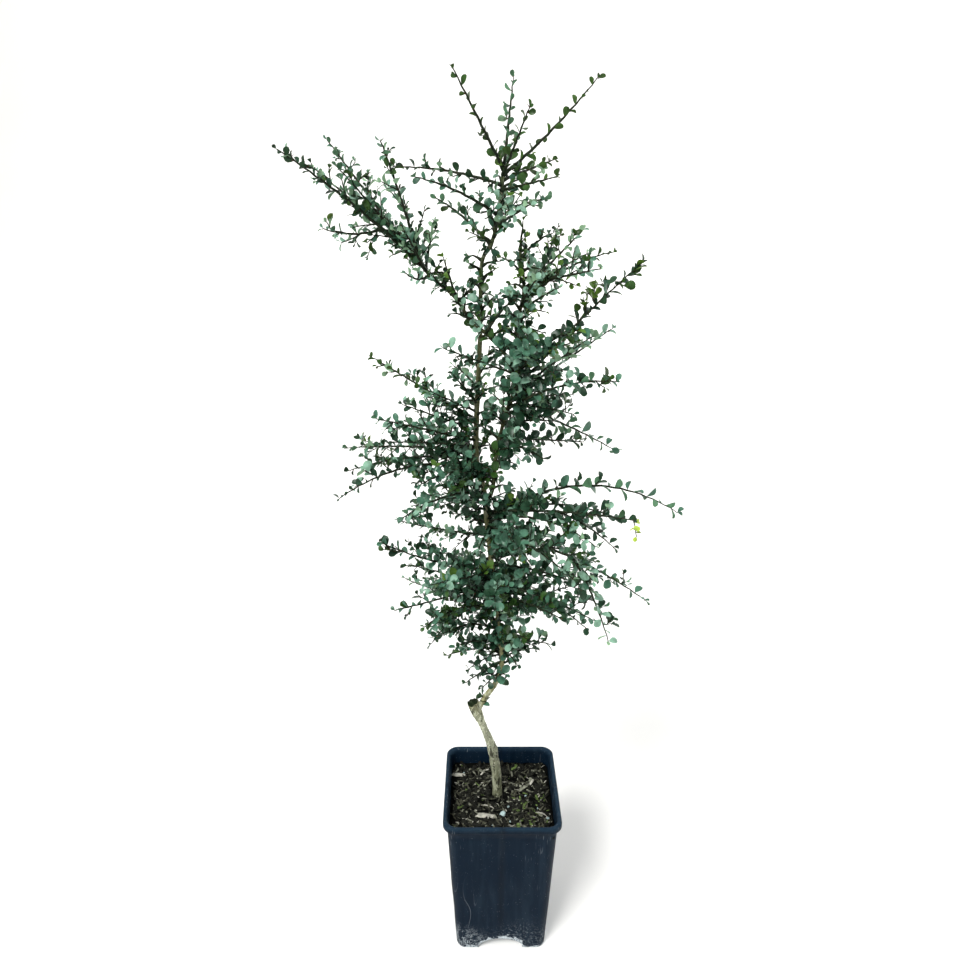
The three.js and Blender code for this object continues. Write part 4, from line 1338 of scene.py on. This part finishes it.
def arching_line(start, turn, reach, rise, arch, step):
    """Points along an arch from a start, by its turn, reach, rise and height between its ends."""
    angle = math.radians(turn)
    span = Vector((math.cos(angle) * reach, math.sin(angle) * reach, rise))
    steps = max(3, round(span.length / step))
    points = []
    for i in range(steps + 1):
        share = i / steps
        points.append(start + span * share + UP * arch * 4 * share * (1 - share))
    return points


def sides_of(direction):
    """Two directions square to a stem's own, and to each other."""
    helper = ACROSS if abs(direction.z) > 0.9 else UP
    side = helper.cross(direction).normalized()
    return side, direction.cross(side)


def lean_out(along, lean, turn, pull):
    """A direction that leans out from a stem, pulled upward a little."""
    side, over = sides_of(along)
    lean = math.radians(lean)
    turn = math.radians(turn)
    out = side * math.cos(turn) + over * math.sin(turn)
    return (along * math.cos(lean) + out * math.sin(lean) + UP * pull).normalized()


def make_twigs(foliage):
    crown = Crown(foliage)
    mesh = joined("twigs", [tubes("stems", crown.stems, 1), tubes("side_twigs", crown.twigs, 0)])
    finished_piece(mesh, [young_bark("twig_bark", foliage.twig)], FOLIAGE_NODES)


def thorn_template():
    """A pointed spine along X, one unit long."""
    bm = bmesh.new()
    bmesh.ops.create_cone(bm, cap_ends=True, segments=5, radius1=0.075, radius2=0.008, depth=1)
    bmesh.ops.translate(bm, vec=(0, 0, 0.5), verts=bm.verts)
    bmesh.ops.rotate(bm, matrix=Matrix.Rotation(math.pi / 2, 3, "Y"), verts=bm.verts)
    return template_mesh(bm, "thorn")


def bud_template():
    bm = bmesh.new()
    bmesh.ops.create_icosphere(bm, subdivisions=1, radius=1)
    bmesh.ops.scale(bm, vec=(1.5, 0.8, 0.8), verts=bm.verts)
    return template_mesh(bm, "bud")


def make_thorns(foliage):
    crown = Crown(foliage)
    thorns = scattered("thorns", thorn_template(), crown.thorns)
    buds = scattered("buds", bud_template(), crown.buds)
    spine = young_bark("thorn_and_bud", foliage.spine)
    finished_piece(joined("thorns_and_buds", [thorns, buds]), [spine])


def leaf_template(width, notch, fold):
    """A leaf of unit length along X that faces Z, with an upper skin and a paler lower one."""
    rows = len(LEAF_ROWS) - 1
    bm = bmesh.new()
    bmesh.ops.create_grid(bm, x_segments=rows, y_segments=2, size=1)
    for vert in bm.verts:
        row = round((vert.co.x + 1) / 2 * rows)
        side = round(vert.co.y)
        along, half = LEAF_ROWS[row]
        if side == 0 and row == rows:
            along -= notch
        rise = LEAF_RISE[row] + abs(side) * half * fold
        vert.co = (along, side * half * width, rise)
    lower = bmesh.ops.duplicate(bm, geom=bm.faces[:])["geom"]
    lower_faces = [item for item in lower if isinstance(item, bmesh.types.BMFace)]
    for vert in {vert for face in lower_faces for vert in face.verts}:
        if not vert.is_boundary:
            vert.co.z -= LEAF_THICKNESS
    bmesh.ops.reverse_faces(bm, faces=lower_faces)
    for face in lower_faces:
        face.material_index = 1
    bmesh.ops.remove_doubles(bm, verts=bm.verts, dist=1e-4)
    for edge in bm.edges:
        edge.smooth = len({face.material_index for face in edge.link_faces}) == 1
    return mesh_of(bm, "leaf")


def make_leaves(foliage):
    crown = Crown(foliage)
    templates = [leaf_template(*shape) for shape in LEAF_SHAPES]
    for tone in TONES:
        pairs = zip(templates, crown.leaves[tone])
        parts = [scattered("leaves", template, places) for template, places in pairs if places]
        colour = getattr(foliage, tone)
        skins = [
            leaf_skin(f"leaf_{tone}", colour, 0.36),
            leaf_skin(f"leaf_{tone}_underside", underside_of(colour), 0.6),
        ]
        finished_piece(joined(f"leaves_{tone}", parts), skins)
    for template in templates:
        bpy.data.meshes.remove(template)


# Stage
def add_light(name, place, width, strength, colour):
    """A wide soft light, as far away as the sun, that looks at the middle of the plant."""
    light = bpy.data.lights.new(name, "SUN")
    light.angle = math.radians(width)
    light.energy = strength
    light.color = colour
    lamp = bpy.data.objects.new(name, light)
    lamp.location = place
    lamp.rotation_euler = (Vector((0, 0, 0.6)) - Vector(place)).to_track_quat("-Z", "Y").to_euler()
    bpy.context.scene.collection.objects.link(lamp)


def backdrop(stage):
    """A round floor whose edge sweeps up into a wall."""
    bm = bmesh.new()
    profile = [bm.verts.new((0.001 + radius, 0, 0)) for radius in range(FLOOR_REACH + 1)]
    for share in shares(SWEEP_STEPS):
        turn = math.pi / 2 * share
        x = FLOOR_REACH + SWEEP * math.sin(turn)
        profile.append(bm.verts.new((x, 0, SWEEP * (1 - math.cos(turn)))))
    profile.append(bm.verts.new((FLOOR_REACH + SWEEP, 0, WALL_TOP)))
    edges = [bm.edges.new(pair) for pair in zip(profile, profile[1:])]
    bmesh.ops.spin(
        bm, geom=profile + edges, cent=(0, 0, 0), axis=(0, 0, 1), angle=2 * math.pi, steps=64,
        use_merge=True,
    )
    bmesh.ops.remove_doubles(bm, verts=bm.verts, dist=0.0015)
    bmesh.ops.recalc_face_normals(bm, faces=bm.faces)
    shade_smooth(bm)
    if sum(face.normal.z for face in bm.faces) < 0:
        bmesh.ops.reverse_faces(bm, faces=bm.faces)
    mesh = mesh_of(bm, "backdrop")
    floor = bpy.data.objects.new("backdrop", mesh)
    bpy.context.scene.collection.objects.link(floor)
    mesh.materials.append(Finish("backdrop", stage.floor, 0.95, 0.1).material)


def set_stage(stage):
    scene = bpy.context.scene
    backdrop(stage)
    camera = bpy.data.cameras.new("camera")
    camera.lens = stage.lens
    camera.sensor_width = 36
    holder = bpy.data.objects.new("camera", camera)
    holder.location = stage.eye
    holder.rotation_euler = (math.pi / 2 - stage.tilt, 0, 0)
    scene.collection.objects.link(holder)
    scene.camera = holder
    add_light("key", (-1.3, -1.7, 3), 24, stage.key, (1, 0.985, 0.96))
    add_light("back", (1.6, 1.6, 2.6), 40, stage.key * 0.25, (0.96, 0.98, 1))
    world = bpy.data.worlds.new("sky")
    world.use_nodes = True
    world.node_tree.nodes["Background"].inputs["Color"].default_value = (0.97, 0.985, 1, 1)
    world.node_tree.nodes["Background"].inputs["Strength"].default_value = stage.sky
    scene.world = world
    scene.view_settings.view_transform = "Standard"


# The add-on
class LIME_OT_pot(bpy.types.Operator):
    """Mould the square pot"""

    bl_idname = "lime.pot"
    bl_label = "Pot"

    def execute(self, context):
        make_pot(context.scene.lime_pot)
        return {"FINISHED"}


class LIME_OT_soil(bpy.types.Operator):
    """Fill the pot with bark mix"""

    bl_idname = "lime.soil"
    bl_label = "Bark mix"

    def execute(self, context):
        make_soil(context.scene.lime_soil)
        return {"FINISHED"}


class LIME_OT_limbs(bpy.types.Operator):
    """Grow the trunk and the two leaders"""

    bl_idname = "lime.limbs"
    bl_label = "Trunk and leaders"

    def execute(self, context):
        make_limbs(context.scene.lime_bark)
        return {"FINISHED"}


class LIME_OT_twigs(bpy.types.Operator):
    """Grow the stems and side twigs of the shoots"""

    bl_idname = "lime.twigs"
    bl_label = "Twigs"

    def execute(self, context):
        make_twigs(context.scene.lime_foliage)
        return {"FINISHED"}


class LIME_OT_thorns(bpy.types.Operator):
    """Set thorns and buds on the twigs"""

    bl_idname = "lime.thorns"
    bl_label = "Thorns and buds"

    def execute(self, context):
        make_thorns(context.scene.lime_foliage)
        return {"FINISHED"}


class LIME_OT_leaves(bpy.types.Operator):
    """Set leaves on the twigs, in sprays of one tint"""

    bl_idname = "lime.leaves"
    bl_label = "Leaves"

    def execute(self, context):
        make_leaves(context.scene.lime_foliage)
        return {"FINISHED"}


class LIME_OT_stage(bpy.types.Operator):
    """Set the floor, the camera and the lights"""

    bl_idname = "lime.stage"
    bl_label = "Stage"

    def execute(self, context):
        set_stage(context.scene.lime_stage)
        return {"FINISHED"}


class LIME_PT_sidebar(bpy.types.Panel):
    """Lists the steps that build the finger lime"""

    bl_label = "Finger Lime"
    bl_idname = "LIME_PT_sidebar"
    bl_space_type = "VIEW_3D"
    bl_region_type = "UI"
    bl_category = "Finger Lime"

    def draw(self, context):
        for step in STEPS:
            self.layout.operator(step.bl_idname)


STEPS = [
    LIME_OT_pot, LIME_OT_soil, LIME_OT_limbs, LIME_OT_twigs, LIME_OT_thorns, LIME_OT_leaves,
    LIME_OT_stage,
]
SETTINGS = {
    "lime_pot": PotSettings,
    "lime_soil": SoilSettings,
    "lime_bark": BarkSettings,
    "lime_foliage": FoliageSettings,
    "lime_stage": StageSettings,
}


def register():
    for kind in [*SETTINGS.values(), *STEPS, LIME_PT_sidebar]:
        bpy.utils.register_class(kind)
    for name, kind in SETTINGS.items():
        setattr(bpy.types.Scene, name, bpy.props.PointerProperty(type=kind))


def unregister():
    for name in SETTINGS:
        delattr(bpy.types.Scene, name)
    for kind in [LIME_PT_sidebar, *reversed(STEPS), *reversed(SETTINGS.values())]:
        bpy.utils.unregister_class(kind)


def main():
    register()
    bpy.ops.lime.pot()
    bpy.ops.lime.soil()
    bpy.ops.lime.limbs()
    bpy.ops.lime.twigs()
    bpy.ops.lime.thorns()
    bpy.ops.lime.leaves()
    bpy.ops.lime.stage()


if __name__ == "__main__":
    main()
